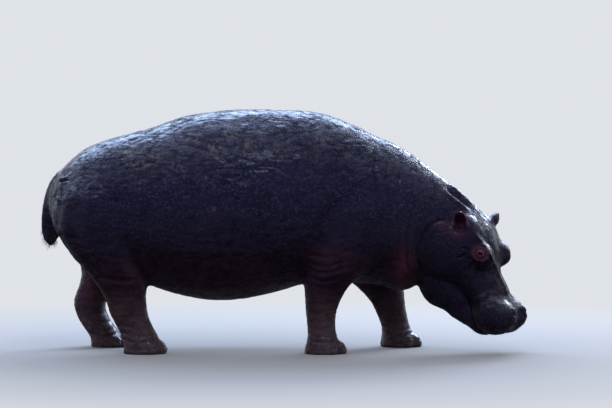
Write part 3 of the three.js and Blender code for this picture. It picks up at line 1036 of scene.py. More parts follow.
# %% Lumps and wrinkles, part by part
LUMP_HEIGHT, HEAD_LUMP_HEIGHT, WRINKLE_DEPTH = 0.006, 0.0016, 0.0026
x, z = points[:, 0], points[:, 2]
on_leg = (1 - ramp(z, 0.30, 0.48)) * (1 - on_head) * (1 - ramp(x, 0.95, 1.0))
on_neck = ramp(x, 0.50, 0.70) * (1 - on_head) * (1 - on_leg)
on_trunk = (1 - on_neck) * (1 - on_leg) * (1 - on_head)
lumps = 0.5 * noise(points / 0.30, 4) + 0.25 * noise(points / 0.12, 5)
level = np.array((0.09, 0.09, 0.048), np.float32)
lumps += 0.26 * on_trunk * noise(points / level, 6) + 0.22 * on_trunk * noise(points / (0.45 * level), 7)
net = (
    0.9 * on_trunk * wrinkles((0.15, 0.15, 0.050), 11, 6)
    + 0.8 * on_neck * wrinkles((0.050, 0.15, 0.15), 12, 6)
    + 1.0 * on_leg * wrinkles((0.10, 0.10, 0.034), 13, 6)
    + 0.55 * on_head * wrinkles((0.030, 0.045, 0.045), 14, 5)
)
lid_guard = 1 - ramp(flush, 0.0, 0.1)
relief = LUMP_HEIGHT * lumps * (1 - on_head) + HEAD_LUMP_HEIGHT * on_head * noise(points / 0.06, 8)
rise += (relief - WRINKLE_DEPTH * net) * lid_guard
# The wrinkles and the rings round the eyes get painted shade as well.
fold_shade = np.maximum(np.maximum(fold_shade, 0.5 * net * lid_guard), ring_shade)

points = points + normals * rise[:, None]
under_foot = (points[:, 2] < 0.006) & (normals[:, 2] < -0.6)
points[:, 2] = np.where(under_foot, 0, np.maximum(points[:, 2], 0))
normals = normals_of(skin_mesh, points)
tell("folded and wrinkled")

# %% [markdown]
# ## Where the skin changes colour
#
# The hide is a wet purple black. It is pinker where it is thin or folded: round the eyes, in and
# behind the ears, on the throat and inside the legs. Dried mud clings to the upper flank. Painted
# shade goes into the folds, the wrinkles and the ears' hollows. Where these lie is kept on the
# mesh as named attributes, so that the material can ask for them.


# %% Pink skin
def blob(x, z, wide, tall, side=BOTH):
    """1 at a spot on the side view and fading out over its width and height."""
    level = np.exp(-(((points[:, 0] - x) / wide) ** 2) - ((points[:, 2] - z) / tall) ** 2)
    return level if side == BOTH else level * ramp(normals[:, 1] * side, -0.1, 0.3)


PINK_SPOTS = [  # X, Z, width, height, side and how pink
    (0.990, 0.795, 0.055, 0.030, RIGHT, 0.30),
    (1.083, 0.757, 0.050, 0.040, RIGHT, 0.35),
    (0.750, 0.520, 0.060, 0.130, RIGHT, 0.50),
    (0.750, 0.520, 0.060, 0.130, LEFT, 0.26),
    (-1.210, 0.360, 0.070, 0.120, BOTH, 0.45),
    (0.300, 0.580, 0.120, 0.100, BOTH, 0.20),
    (-0.900, 0.480, 0.100, 0.140, BOTH, 0.20),
]
for *spot, amount in PINK_SPOTS:
    flush = np.maximum(flush, amount * blob(*spot))
flush = np.maximum(flush, 0.10 * ramp(points[:, 2], 0.75, 0.35) * (1 - on_head))
print("pink spots", len(PINK_SPOTS))

# %% [markdown]
# The corners of an ear are those near its leaf but off the skull. The scoop faces the way the
# ear opens, which tells its pink inside and the painted shade deep in its hollow from its back.

# %% Ears: pink inside, painted shade in the hollow, and rim
EAR_FLUSH = 0.55
off_skull = np.zeros(len(points), np.float32)
off_skull[front_part] = ramp(np.minimum(skull_gap, jaw_gap), 0.006, 0.024)
hollow = np.zeros(len(points), np.float32)
rims = {}  # where the edge of each ear is
for name, plan in EAR_PLANS.items():
    root, tip = from_head(plan["root"]), from_head(plan["tip"])
    up = (tip - root).normalized()
    opening = from_head(plan["opening"]) - HEAD_ORIGIN
    across = up.cross(opening).normalized()
    facing = np.array(across.cross(up), np.float32)
    offset = points - np.array(root, np.float32)
    along = offset @ np.array(up, np.float32) / (tip - root).length
    aside = np.abs(offset @ np.array(across, np.float32)) / EAR_HALF_WIDTH
    near_ear = ramp(along, 0.15, 0.35) * (1 - ramp(aside, 1.2, 1.6)) * (np.abs(offset @ facing) < 0.07)
    near_ear *= np.maximum(off_skull, 0.35 * (along < 0.5))
    rims[name] = near_ear * ((aside > 0.75) | (along > 0.90)) * (along > 0.40)
    flush = np.maximum(flush, near_ear * EAR_FLUSH * ramp(normals @ facing, -0.35, 0.05))
    # Painted shade deep in the scoop, away from its rim and tip.
    inside = near_ear * ramp(normals @ facing, 0.0, 0.4)
    hollow = np.maximum(hollow, inside * (1 - ramp(aside, 0.70, 1.0)) * (1 - ramp(along, 0.80, 1.0)))
    print(name, "has", int((near_ear > 0.5).sum()), "corners")

# %% [markdown]
# Mud dries into a few ragged patches high on the flank and stays on the feet. The spots below
# are where it clings most, and a slow noise scatters a little more of it over the back.

# %% Mud, and all the masks kept on the mesh
MUD_SPOTS = [  # X, Z, width, height
    (-0.529, 1.345, 0.050, 0.045),
    (-0.420, 1.265, 0.045, 0.050),
    (-0.208, 1.288, 0.030, 0.030),
    (-0.300, 1.340, 0.050, 0.020),
    (-0.900, 1.250, 0.110, 0.045),
    (-0.780, 1.240, 0.070, 0.035),
    (-0.638, 1.165, 0.035, 0.030),
    (-0.820, 1.165, 0.050, 0.025),
    (0.240, 1.330, 0.060, 0.060),
    (-0.236, 1.060, 0.022, 0.016),
    (-0.087, 1.250, 0.016, 0.008),
    (-0.387, 0.897, 0.050, 0.016),
    (-0.874, 1.175, 0.060, 0.030),
]
FOOT_MUD, SCATTERED_MUD = 0.55, 0.24
mud = np.zeros(len(points), np.float32)
for spot in MUD_SPOTS:
    mud = np.maximum(mud, blob(*spot))
mud = np.maximum(mud, FOOT_MUD * (1 - ramp(points[:, 2], 0.06, 0.22)))
patchy = ramp(noise(points / 0.16, 21), 0.45, 0.8) * ramp(points[:, 2], 0.9, 1.1) * (1 - on_head)
mud = np.maximum(mud, SCATTERED_MUD * patchy)

masks = {"flush": flush, "fold_shade": fold_shade, "hollow": hollow, "mud": mud, "on_leg": on_leg}
for name, values in masks.items():
    layer = skin_mesh.attributes.new(name, "FLOAT", "POINT")
    layer.data.foreach_set("value", np.clip(values, 0, 1).astype(np.float32))
    print(name, "covers", round(float((values > 0.3).mean()) * 100, 1), "% of the corners")

# %% [markdown]
# ## Shader nodes in a few words
#
# Materials are graphs of nodes, and writing a graph takes many lines. One helper adds a node and
# joins it up, and the others are the few sums that every finish here needs. Effects that more
# than one finish uses are node groups, each built once.


# %% Node helpers
def add(tree, kind, inputs=(), **settings):
    """A node with its settings, and its inputs set to numbers or linked to other nodes' outputs."""
    made = tree.nodes.new("ShaderNode" + kind)
    for name, value in settings.items():
        setattr(made, name, value)
    for name, value in dict(inputs).items():
        if isinstance(value, bpy.types.NodeSocket):
            tree.links.new(value, made.inputs[name])
        else:
            made.inputs[name].default_value = value
    return made


def blend_colour(tree, share, first, second):
    """The first colour where share is 0 and the second where it is 1."""
    return add(tree, "Mix", {0: share, 6: first, 7: second}, data_type="RGBA").outputs[2]


def math_of(tree, operation, first, second):
    """Two values multiplied, added, or the greater of them."""
    return add(tree, "Math", {0: first, 1: second}, operation=operation).outputs[0]


def spread(tree, value, from_low, from_high, to_low=0.0, to_high=1.0):
    """A value carried from one range to another and held inside it."""
    numbers = {"From Min": from_low, "From Max": from_high, "To Min": to_low, "To Max": to_high}
    return add(tree, "MapRange", {"Value": value, **numbers}).outputs[0]


def sum_of(tree, *terms):
    """Values times numbers, added up."""
    total = None
    for value, factor in terms:
        scaled = math_of(tree, "MULTIPLY", value, factor)
        total = scaled if total is None else math_of(tree, "ADD", total, scaled)
    return total


def place_on(tree, stretch=None):
    """The place on the piece, stretched along X, Y and Z if asked."""
    spot = add(tree, "TexCoord").outputs["Object"]
    if stretch is None:
        return spot
    return add(tree, "VectorMath", {0: spot, 1: stretch}, operation="MULTIPLY").outputs[0]


def height_in(tree, vector):
    """The upward part of a place or a direction."""
    return add(tree, "SeparateXYZ", {0: vector}).outputs[2]


def noise_on(tree, spot, scale, detail, roughness=0.5):
    """A cloudy noise round 0.5."""
    numbers = {"Scale": scale, "Detail": detail, "Roughness": roughness}
    return add(tree, "TexNoise", {"Vector": spot, **numbers}).outputs["Fac"]


def new_group(name, takes, gives):
    """An empty shader group with named inputs, their starting values and named outputs."""
    group = bpy.data.node_groups.new(name, "ShaderNodeTree")
    for label, (kind, value) in takes.items():
        socket = group.interface.new_socket(label, in_out="INPUT", socket_type="NodeSocket" + kind)
        if value is not None:
            socket.default_value = value
    for label in gives:
        group.interface.new_socket(label, in_out="OUTPUT", socket_type="NodeSocketFloat")
    return group, group.nodes.new("NodeGroupInput").outputs, group.nodes.new("NodeGroupOutput").inputs


# %% [markdown]
# ### The wrinkle net
#
# Close up the hide is a net of fine cracks round small raised cells. A Voronoi texture's distance
# to its edges draws such a net. Its coordinates are stretched first, so that the cells lie level
# on a flank, and bent by a noise, so that no crack is straight.

# %% Group: wrinkle net
WAVER_SCALE = 22.0
WAVER = 0.035
net_group, takes, gives = new_group(
    "wrinkle net",
    {
        "Vector": ("Vector", None),
        "Scale": ("Float", 40.0),
        "Flatness": ("Float", 1.0),
        "Crack": ("Float", 0.1),
    },
    ("Cracks", "Cells"),
)
squash = add(net_group, "CombineXYZ", {0: 1.0, 1: 1.0, 2: takes["Flatness"]}).outputs[0]
flat = add(net_group, "VectorMath", {0: takes["Vector"], 1: squash}, operation="MULTIPLY").outputs[0]
waver = add(net_group, "TexNoise", {"Vector": flat, "Scale": WAVER_SCALE, "Detail": 2.0}).outputs["Color"]
waver = add(net_group, "VectorMath", {0: waver, 1: (0.5, 0.5, 0.5)}, operation="SUBTRACT").outputs[0]
waver = add(net_group, "VectorMath", {0: waver, "Scale": WAVER}, operation="SCALE").outputs[0]
bent = add(net_group, "VectorMath", {0: flat, 1: waver}, operation="ADD").outputs[0]
cells_at = {"Vector": bent, "Scale": takes["Scale"]}
edges = add(net_group, "TexVoronoi", cells_at, feature="DISTANCE_TO_EDGE").outputs["Distance"]
cells = add(net_group, "TexVoronoi", cells_at, feature="F1").outputs["Color"]
net_group.links.new(spread(net_group, edges, 0.0, takes["Crack"], 1.0, 0.0), gives["Cracks"])
net_group.links.new(add(net_group, "SeparateXYZ", {0: cells}).outputs[0], gives["Cells"])


def wrinkle_net(tree, spot, scale, flatness, crack):
    """The group placed in a material, with cells and cracks of the size asked for."""
    sizes = {"Vector": spot, "Scale": scale, "Flatness": flatness, "Crack": crack}
    return add(tree, "Group", sizes, node_tree=net_group).outputs


print("a wrinkle net of", len(net_group.nodes), "nodes")

# %% [markdown]
# ### Patches
#
# Wet and dry hide, clinging mud and worn horn all come in ragged patches. A fine noise held
# against a level gives them, and a softness says how hard their edges are.

# %% Group: patches
patch_group, takes, gives = new_group(
    "patches",
    {
        "Vector": ("Vector", None),
        "Scale": ("Float", 10.0),
        "Level": ("Float", 0.5),
        "Softness": ("Float", 0.1),
    },
    ("Mask",),
)
ragged = noise_on(patch_group, takes["Vector"], takes["Scale"], 7.0, 0.62)
upper = math_of(patch_group, "ADD", takes["Level"], takes["Softness"])
patch_group.links.new(spread(patch_group, ragged, takes["Level"], upper), gives["Mask"])


def patches(tree, spot, scale, level, softness):
    """The group placed in a material, with patches of the size and share asked for."""
    sizes = {"Vector": spot, "Scale": scale, "Level": level, "Softness": softness}
    return add(tree, "Group", sizes, node_tree=patch_group).outputs["Mask"]


print("patches of", len(patch_group.nodes), "nodes")

# %% [markdown]
# ## The hide
#
# Wet hide is nearly black and gets its look from what it mirrors, so the colour stays dark and
# the roughness does the work. Cells are slick, while cracks, seams and mud are dull, and water
# lies in broken streaks on the parts of the back that face up, as a thin second gloss. The
# textures come first: each is a value over the surface that the finish then draws on.

# %% Material: hide, its textures
def new_material(name):
    """An empty material, its nodes and its main shader."""
    material = bpy.data.materials.new(name)
    material.use_nodes = True
    return material, material.node_tree, material.node_tree.nodes["Principled BSDF"]


def ask(tree, name):
    """An attribute of the mesh as a value."""
    return add(tree, "Attribute", attribute_name=name).outputs["Fac"]


hide, tree, shader = new_material("hide")
spot = place_on(tree)
level_spot = place_on(tree, (0.75, 0.9, 1.3))
coarse = wrinkle_net(tree, spot, 30.0, 2.0, 0.13)
fine = wrinkle_net(tree, spot, 95.0, 1.4, 0.16)
seams = wrinkle_net(tree, spot, 10.0, 1.8, 0.08)["Cracks"]
grain = noise_on(tree, spot, 70.0, 6.0, 0.65)
crumple = noise_on(tree, level_spot, 44.0, 6.0, 0.66)
broad = noise_on(tree, spot, 3.0, 4.0)
come_and_go = patches(tree, spot, 7.0, 0.44, 0.16)
glint_and_rust_patches = patches(tree, spot, 62.0, 0.51, 0.12)
wet = patches(tree, level_spot, 26.0, 0.38, 0.16)
muddy = math_of(tree, "MULTIPLY", ask(tree, "mud"), patches(tree, spot, 34.0, 0.50, 0.06))
cracked = math_of(tree, "MULTIPLY", coarse["Cracks"], come_and_go)
seams = math_of(tree, "MULTIPLY", seams, come_and_go)
high_up = spread(tree, height_in(tree, spot), 0.60, 1.05)
on_shin = spread(tree, height_in(tree, spot), 0.46, 0.18)

# %% [markdown]
# The colour is built up as a painter would: violet black and slate over the flank, brown black
# low down, partly the hide's own and partly painted shade, painted shade in the grain's pits,
# brown on the shins, then the fine flecks, which are painted glints high up and rusty mottles low
# down, the pink skin, painted shade inside folds, cracks and ears, and last the mud on top of it all.

# %% Material: hide, its colour
VIOLET_BLACK = (0.0082, 0.0062, 0.0180, 1)
SLATE = (0.0184, 0.0166, 0.0490, 1)
# bluish painted glint, for the flecks high on the flank
GLINT = (0.0640, 0.0580, 0.1100, 1)
RUST = (0.0480, 0.0260, 0.0260, 1)
# brown black, partly painted shade low down, and painted shade in the grain's pits
BROWN_BLACK_SHADE = (0.0050, 0.0022, 0.0024, 1)
LEG_BROWN = (0.0850, 0.0520, 0.0430, 1)
PINK = (0.2200, 0.0620, 0.0860, 1)
# painted shade inside folds and cracks
FOLD_SHADE = (0.0060, 0.0025, 0.0040, 1)
# painted shade deep in the ears' hollows
EAR_SHADE = (0.0260, 0.0030, 0.0110, 1)
MUD = (0.1450, 0.1150, 0.1000, 1)

# The flecks are bluish painted glints high up and rusty mottles low down; the glints grow thicker towards the
# back.
glint_and_rust_colour = blend_colour(tree, high_up, RUST, GLINT)
glint_and_rust_colour = blend_colour(tree, spread(tree, broad, 0.45, 0.55, 0.0, 0.7), glint_and_rust_colour, RUST)
glint_and_rust_share = math_of(tree, "MULTIPLY", glint_and_rust_patches, spread(tree, high_up, 0.0, 1.0, 0.35, 1.0))
brown_share = math_of(tree, "MULTIPLY", on_shin, ask(tree, "on_leg"))
base = blend_colour(tree, spread(tree, broad, 0.35, 0.70, 0.0, 0.5), VIOLET_BLACK, SLATE)
# Low down the hide turns brown black, partly its own browner underside and partly painted shade.
base = blend_colour(tree, high_up, BROWN_BLACK_SHADE, base)
# Painted shade goes into the grain's pits, the folds, the cracks and the ears' hollows below.
for share, colour in (
    (spread(tree, grain, 0.47, 0.34, 0.0, 0.8), BROWN_BLACK_SHADE),
    (brown_share, LEG_BROWN),
    (spread(tree, glint_and_rust_share, 0.0, 1.0, 0.0, 0.85), glint_and_rust_colour),
    (ask(tree, "flush"), PINK),
    (spread(tree, ask(tree, "fold_shade"), 0.0, 1.0, 0.0, 0.75), FOLD_SHADE),
    (spread(tree, cracked, 0.0, 1.0, 0.0, 0.45), FOLD_SHADE),
    (ask(tree, "hollow"), EAR_SHADE),
    (spread(tree, muddy, 0.0, 1.0, 0.0, 0.8), MUD),
):
    base = blend_colour(tree, share, base, colour)
tree.links.new(base, shader.inputs["Base Color"])

# %% [markdown]
# Underneath, the hide is dusty and dull, and on top it is wet. So the roughness falls from the
# belly to the back, and the coat, which is the water, is there only where the hide faces up and
# isn't cracked. The cracks, grain and crumple are also the bump that breaks up the gloss.

# %% Material: hide, its gloss and relief
facing_up = height_in(tree, add(tree, "NewGeometry").outputs["Normal"])
roughness = sum_of(
    tree,
    (grain, 0.20),
    (cracked, 0.24),
    (muddy, 0.30),
    (seams, 0.20),
    (wet, -0.26),
    (glint_and_rust_share, -0.06),
)
roughness = math_of(tree, "ADD", roughness, spread(tree, facing_up, 0.0, -0.4, 0.46, 0.90))
tree.links.new(roughness, shader.inputs["Roughness"])

water = math_of(tree, "MULTIPLY", wet, spread(tree, facing_up, 0.28, 0.80))
dry = math_of(tree, "MAXIMUM", cracked, seams)
water = math_of(tree, "MULTIPLY", water, spread(tree, dry, 0.0, 0.8, 1.0, 0.05))
tree.links.new(water, shader.inputs["Coat Weight"])
shader.inputs["Coat Roughness"].default_value = 0.14
shader.inputs["Coat IOR"].default_value = 1.42
shader.inputs["IOR"].default_value = 1.38
shader.inputs["Specular Tint"].default_value = (0.30, 0.31, 0.78, 1)

relief = sum_of(
    tree,
    (cracked, -0.60),
    (seams, -0.35),
    (fine["Cracks"], -0.16),
    (grain, 0.40),
    (crumple, 1.7),
    (coarse["Cells"], 0.10),
    (muddy, 0.30),
)
bump = add(tree, "Bump", {"Height": relief, "Strength": 0.7, "Distance": 0.006})
tree.links.new(bump.outputs[0], shader.inputs["Normal"])
print("hide of", len(tree.nodes), "nodes")

# %% [markdown]
# The skin stands for every solid of flesh, which it hides, and moves with the one body. The
# eyes and the nails have pieces of their own, below.

# %% The skin takes the place of the flesh
skin_mesh.materials.append(hide)
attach(skin, "root")
flesh = [node for node in frame["nodes"] if not node.startswith(("eye", "nail"))]
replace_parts(skin, *flesh)
print("the skin stands for", len(flesh), "solids")

# %% [markdown]
# ## Eyeballs
#
# The eyes are small, brown and set high on the head. An eyeball is a sphere with a clear dome
# over the iris, turned to look the way that the real eye looks: out, a little forward and up.

# %% Material: wet eye
PUPIL = (0.0080, 0.0062)  # half its length and half its height
IRIS_RADIUS = 0.0112
IRIS_DARK, IRIS_BROWN = (0.010, 0.004, 0.003, 1), (0.060, 0.024, 0.010, 1)
IRIS_RIM = (0.006, 0.003, 0.003, 1)
WHITE_NEAR, WHITE_FAR = (0.016, 0.009, 0.008, 1), (0.060, 0.016, 0.016, 1)
PUPIL_BLACK = (0.001, 0.001, 0.001, 1)


def length_of(tree, vector):
    """How long a vector is."""
    return add(tree, "VectorMath", {0: vector}, operation="LENGTH").outputs["Value"]


eye_finish, tree, shader = new_material("wet eye")
flat_spot = place_on(tree, (1, 1, 0))
from_axis = length_of(tree, flat_spot)
bearing = add(tree, "VectorMath", {0: flat_spot}, operation="NORMALIZE").outputs[0]
streaks = spread(tree, noise_on(tree, bearing, 9.0, 4.0), 0.35, 0.65)
to_oval = (1 / PUPIL[0], 1 / PUPIL[1], 0)
oval = add(tree, "VectorMath", {0: flat_spot, 1: to_oval}, operation="MULTIPLY").outputs[0]
in_pupil = spread(tree, length_of(tree, oval), 0.9, 1.1, 1.0, 0.0)
iris = blend_colour(tree, streaks, IRIS_DARK, IRIS_BROWN)
at_rim = spread(tree, from_axis, 0.7 * IRIS_RADIUS, IRIS_RADIUS, 0.0, 0.8)
iris = blend_colour(tree, at_rim, iris, IRIS_RIM)
white_share = spread(tree, from_axis, 1.1 * IRIS_RADIUS, 1.7 * IRIS_RADIUS)
white = blend_colour(tree, white_share, WHITE_NEAR, WHITE_FAR)
eye_colour = blend_colour(tree, spread(tree, from_axis, IRIS_RADIUS, 1.08 * IRIS_RADIUS), iris, white)
eye_colour = blend_colour(tree, in_pupil, eye_colour, PUPIL_BLACK)
tree.links.new(eye_colour, shader.inputs["Base Color"])
shader.inputs["Roughness"].default_value = 0.05
shader.inputs["IOR"].default_value = 1.30
shader.inputs["Specular IOR Level"].default_value = 0.22
print("wet eye of", len(tree.nodes), "nodes")

# %% [markdown]
# The eyeballs and the nails both start as a ball. Blender's own ball has its faces in a new order
# on every run, so this one is built ring by ring, and the finished meshes never change.


# %% A ball
def ball(segments, rings, radius):
    """A sphere of four-sided faces, with a fan of triangles round each pole."""
    bm = bmesh.new()
    top, bottom = bm.verts.new((0, 0, radius)), bm.verts.new((0, 0, -radius))
    rows = []
    for i in range(1, rings):
        down = math.pi * i / rings
        level, out = radius * math.cos(down), radius * math.sin(down)
        turns = [2 * math.pi * j / segments for j in range(segments)]
        rows.append([bm.verts.new((out * math.sin(turn), out * math.cos(turn), level)) for turn in turns])
    for j in range(segments):
        k = (j + 1) % segments
        bm.faces.new((top, rows[0][k], rows[0][j]))
        bm.faces.new((bottom, rows[-1][j], rows[-1][k]))
        for upper, lower in zip(rows[:-1], rows[1:]):
            bm.faces.new((upper[j], upper[k], lower[k], lower[j]))
    return bm


# %% [markdown]
# The dome bulges over the iris as a cornea does, and so catches a small light of its own.

# %% Eyeballs
DOME_RISE, DOME_ANGLE = 0.05, 0.38  # the clear dome's rise, as a share, and its width in radians


def make_eyeball(name, side):
    """A sphere with a slight dome over the iris, turned the way that this eye looks."""
    gaze, fore, _ = gaze_axes(side)
    mesh = bpy.data.meshes.new(name)
    bm = ball(48, 32, EYE_RADIUS)
    for corner in bm.verts:
        off_axis = corner.co.angle(Vector((0, 0, 1)))
        corner.co *= 1 + DOME_RISE * math.exp(-((off_axis / DOME_ANGLE) ** 2))
    for face in bm.faces:
        face.smooth = True
    bm.to_mesh(mesh)
    bm.free()
    eyeball = put_in_scene(name, mesh)
    turned = Matrix((fore, gaze.cross(fore), gaze)).transposed().to_4x4()
    eyeball.matrix_world = Matrix.Translation(EYES[side]) @ turned
    mesh.materials.append(eye_finish)
    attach(eyeball, "root")
    print(name, "of", len(mesh.polygons), "faces")
    return eyeball


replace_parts(make_eyeball("eyeball_right", RIGHT), "eye_right")
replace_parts(make_eyeball("eyeball_left", LEFT), "eye_left")

# %% [markdown]
# ## Nails
#
# Each nail is the rounded front of an egg, worn flat where it meets the ground and closed at the
# back, where it lies in the toe. The four of one foot are joined into one mesh.

# %% Material: horn
HORN_DARK, HORN_PALE, HORN_WORN = (0.016, 0.011, 0.010, 1), (0.050, 0.038, 0.032, 1), (0.085, 0.064, 0.050, 1)
horn, tree, shader = new_material("horn")
striped = noise_on(tree, place_on(tree, (1, 1, 0.12)), 260.0, 4.0, 0.6)
worn = patches(tree, place_on(tree), 60.0, 0.50, 0.12)
base = blend_colour(tree, spread(tree, striped, 0.35, 0.65), HORN_DARK, HORN_PALE)
base = blend_colour(tree, spread(tree, worn, 0.0, 1.0, 0.0, 0.6), base, HORN_WORN)
tree.links.new(base, shader.inputs["Base Color"])
tree.links.new(spread(tree, worn, 0.0, 1.0, 0.38, 0.75), shader.inputs["Roughness"])
relief = sum_of(tree, (striped, 1.0), (worn, 0.4))
bump = add(tree, "Bump", {"Height": relief, "Strength": 0.5, "Distance": 0.0015})
tree.links.new(bump.outputs[0], shader.inputs["Normal"])
print("horn of", len(tree.nodes), "nodes")

# %% [markdown]
# The nails differ only in size and heading, and the toes made earlier hold both. So one shape,
# made at the origin and cut there, is turned and moved to the front of each toe.

# %% Nails
NAIL_RADII = (0.0345, 0.0315, 0.0285)
NAIL_FIT = 0.93
NAIL_SQUARENESS = 0.80  # 1 is an egg and less is squarer
NAIL_AHEAD = 0.028
NAIL_HEIGHT = 0.021
NAIL_FLOOR = 0.003
NAIL_CUTS = [  # a point on each cut and the way that is cleared: the back and the worn sole
    ((-0.002, 0, 0), (-1, 0, 0)),
    ((0, 0, NAIL_FLOOR - NAIL_HEIGHT), (0, 0, -1)),
]


def nail_shape(toe):
    """One nail as a mesh in the world, closed at its back and its sole."""
    bm = ball(40, 28, 1)
    for corner in bm.verts:
        boxy = [math.copysign(abs(c) ** NAIL_SQUARENESS, c) for c in corner.co]
        corner.co = Vector([NAIL_FIT * c * r * toe.size for c, r in zip(boxy, NAIL_RADII)])
    for place, outward in NAIL_CUTS:
        whole = bm.verts[:] + bm.edges[:] + bm.faces[:]
        bmesh.ops.bisect_plane(bm, geom=whole, plane_co=place, plane_no=outward, clear_outer=True)
        bmesh.ops.holes_fill(bm, edges=[edge for edge in bm.edges if edge.is_boundary], sides=0)
    spot = toe.middle + toe.ahead * NAIL_AHEAD * toe.size
    spot.z = NAIL_HEIGHT
    turned = Matrix((toe.ahead, toe.across, Vector((0, 0, 1)))).transposed().to_4x4()
    bm.transform(Matrix.Translation(spot) @ turned)
    mesh = bpy.data.meshes.new("nail")
    bm.to_mesh(mesh)
    bm.free()
    return mesh


def make_nails(foot):
    """The four nails of one foot as one piece."""
    joined = bmesh.new()
    nails = [toe for toe in TOES if toe.node.startswith("nail_" + foot)]
    for toe in nails:
        nail = nail_shape(toe)
        joined.from_mesh(nail)
        bpy.data.meshes.remove(nail)
    for face in joined.faces:
        face.smooth = len(face.verts) < 5
    mesh = bpy.data.meshes.new("nails_" + foot)
    joined.to_mesh(mesh)
    joined.free()
    thing = put_in_scene("nails_" + foot, mesh)
    mesh.materials.append(horn)
    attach(thing, "root")
    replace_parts(thing, *[toe.node for toe in nails])
    print(thing.name, "of", len(mesh.polygons), "faces")


for leg in LEGS:
    make_nails(leg.removeprefix("leg_"))

# %% [markdown]
# ## Bristles
#
# A hippopotamus is all but bald. It has short stiff bristles on its lips and chin, along the
# rims of its ears and at the end of its tail. Hair curves would be lost when the model leaves
# Blender, so each bristle is a thin bent cone of real mesh, and each patch of them is one piece.
#
# A bristle also carries its place on an unwrap: the skin round it is rolled flat about an axis,
# the turn about the axis is one way across the map and the distance along it the other.

# %% Material: bristle
BRISTLE_DARK, BRISTLE_PALE = (0.012, 0.008, 0.008, 1), (0.110, 0.075, 0.055, 1)
bristle_finish, tree, shader = new_material("bristle")
mixed = spread(tree, noise_on(tree, place_on(tree), 90.0, 2.0), 0.35, 0.65)
tree.links.new(blend_colour(tree, mixed, BRISTLE_DARK, BRISTLE_PALE), shader.inputs["Base Color"])
shader.inputs["Roughness"].default_value = 0.42
print("bristle of", len(tree.nodes), "nodes")

# %% [markdown]
# One bristle is five rings of five corners. It starts a little under the skin, so that no gap
# shows at its root, and each ring leans further over than the one before.

# %% One bristle
SIDES, RINGS = 5, 5
PATCH = 0.003  # the width of one bristle on the map
UNDER_SKIN = 0.002
SPREAD = 0.16  # how far bristles stray from the way they lie
MAP_EDGE, MAP_WIDTH = 0.01, 0.97


def bristle_corners(root, normal, lie, stray, length, radius):
    """Rings of a bent cone that starts along the skin's normal and leans over to the way it lies."""
    corners = []
    spot = root - normal * UNDER_SKIN
    for i in range(RINGS):
        share = i / (RINGS - 1)
        heading = (normal * (1 - 0.6 * share) + lie * (0.5 + 0.6 * share) + stray).normalized()
        across = heading.orthogonal().normalized()
        thick = radius * (1 - 0.93 * share)
        for j in range(SIDES):
            angle = 2 * math.pi * j / SIDES
            aside = across * math.cos(angle) + heading.cross(across) * math.sin(angle)
            corners.append(spot + aside * thick)
        spot = spot + heading * length / (RINGS - 1)
    return corners


def bristle_faces(first):
    """The faces of a bristle whose corners start at this number, closed at both ends."""
    faces = []
    for i in range(RINGS - 1):
        for j in range(SIDES):
            a = first + i * SIDES + j
            b = first + i * SIDES + (j + 1) % SIDES
            faces.append((a, b, b + SIDES, a + SIDES))
    last = first + (RINGS - 1) * SIDES
    faces.append(tuple(range(last, last + SIDES)))
    faces.append(tuple(range(first + SIDES - 1, first - 1, -1)))
    return faces


def bristle_patch(turn, along):
    """Where a bristle's corners lie on the map."""
    across, up = MAP_EDGE + MAP_WIDTH * turn, MAP_EDGE + MAP_WIDTH * along
    grid = [(j / SIDES, i / (RINGS - 1)) for i in range(RINGS) for j in range(SIDES)]
    return [(across + PATCH * u, up + PATCH * v) for u, v in grid]


def rolled_flat(roots, middle, axis):
    """The turn about an axis and the share of the way along it of each root, from 0 to 1."""
    axis = axis.normalized()
    aside = axis.orthogonal().normalized()
    placed = (points[roots] - np.array(middle)) @ np.array([aside, axis.cross(aside), axis]).T
    turns = np.arctan2(placed[:, 1], placed[:, 0]) / (2 * math.pi) + 0.5
    return turns, (placed[:, 2] - placed[:, 2].min()) / max(float(np.ptp(placed[:, 2])), 1e-6)


# %% [markdown]
# The roots are drawn by chance from a fixed start, so that they are the same on every run.

# %% A piece of bristles
chance = np.random.default_rng(12)


def make_bristles(name, where, count, length, radius, lie, middle, axis):
    """Bristles at random corners of the skin, leaning the way they lie, as one mesh."""
    candidates = np.flatnonzero(where)
    roots = np.sort(chance.choice(candidates, min(count, len(candidates)), replace=False))
    corners, faces, spots = [], [], []
    for corner, turn, along in zip(roots, *rolled_flat(roots, middle, axis)):
        stray = Vector(chance.normal(0, SPREAD, 3).tolist())
        reach = length * chance.uniform(0.6, 1.15)
        root, normal = Vector(points[corner].tolist()), Vector(normals[corner].tolist())
        faces += bristle_faces(len(corners))
        corners += bristle_corners(root, normal, lie, stray, reach, radius)
        spots += bristle_patch(turn, along)
    mesh = bpy.data.meshes.new(name)
    mesh.from_pydata(corners, [], faces)
    unwrap = mesh.uv_layers.new(name="OFBake")
    corner_of_loop = read_all(mesh.loops, "vertex_index", 1, np.int32)[:, 0]
    unwrap.data.foreach_set("uv", np.array(spots, np.float32)[corner_of_loop].ravel())
    mesh.materials.append(bristle_finish)
    piece = put_in_scene(name, mesh)
    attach(piece, "root")
    print(name, len(roots), "bristles")


# %% [markdown]
# On the muzzle the bristles lie forward and down, on the tail they hang, and on the ears they
# follow the rim towards the tip.

# %% Muzzle, tail and ears
UP = Vector((0, 0, 1))
in_head = to_head(points)
on_lips = (on_head > 0.6) & (in_head[:, 0] > 0.26) & (in_head[:, 2] < 0.02)
muzzle_lie = HEAD_AHEAD * 0.4 - UP * 0.4
muzzle_middle = from_head((0.36, 0, -0.05))
make_bristles("bristles_muzzle", on_lips, 420, 0.016, 0.0008, muzzle_lie, muzzle_middle, HEAD_AHEAD)

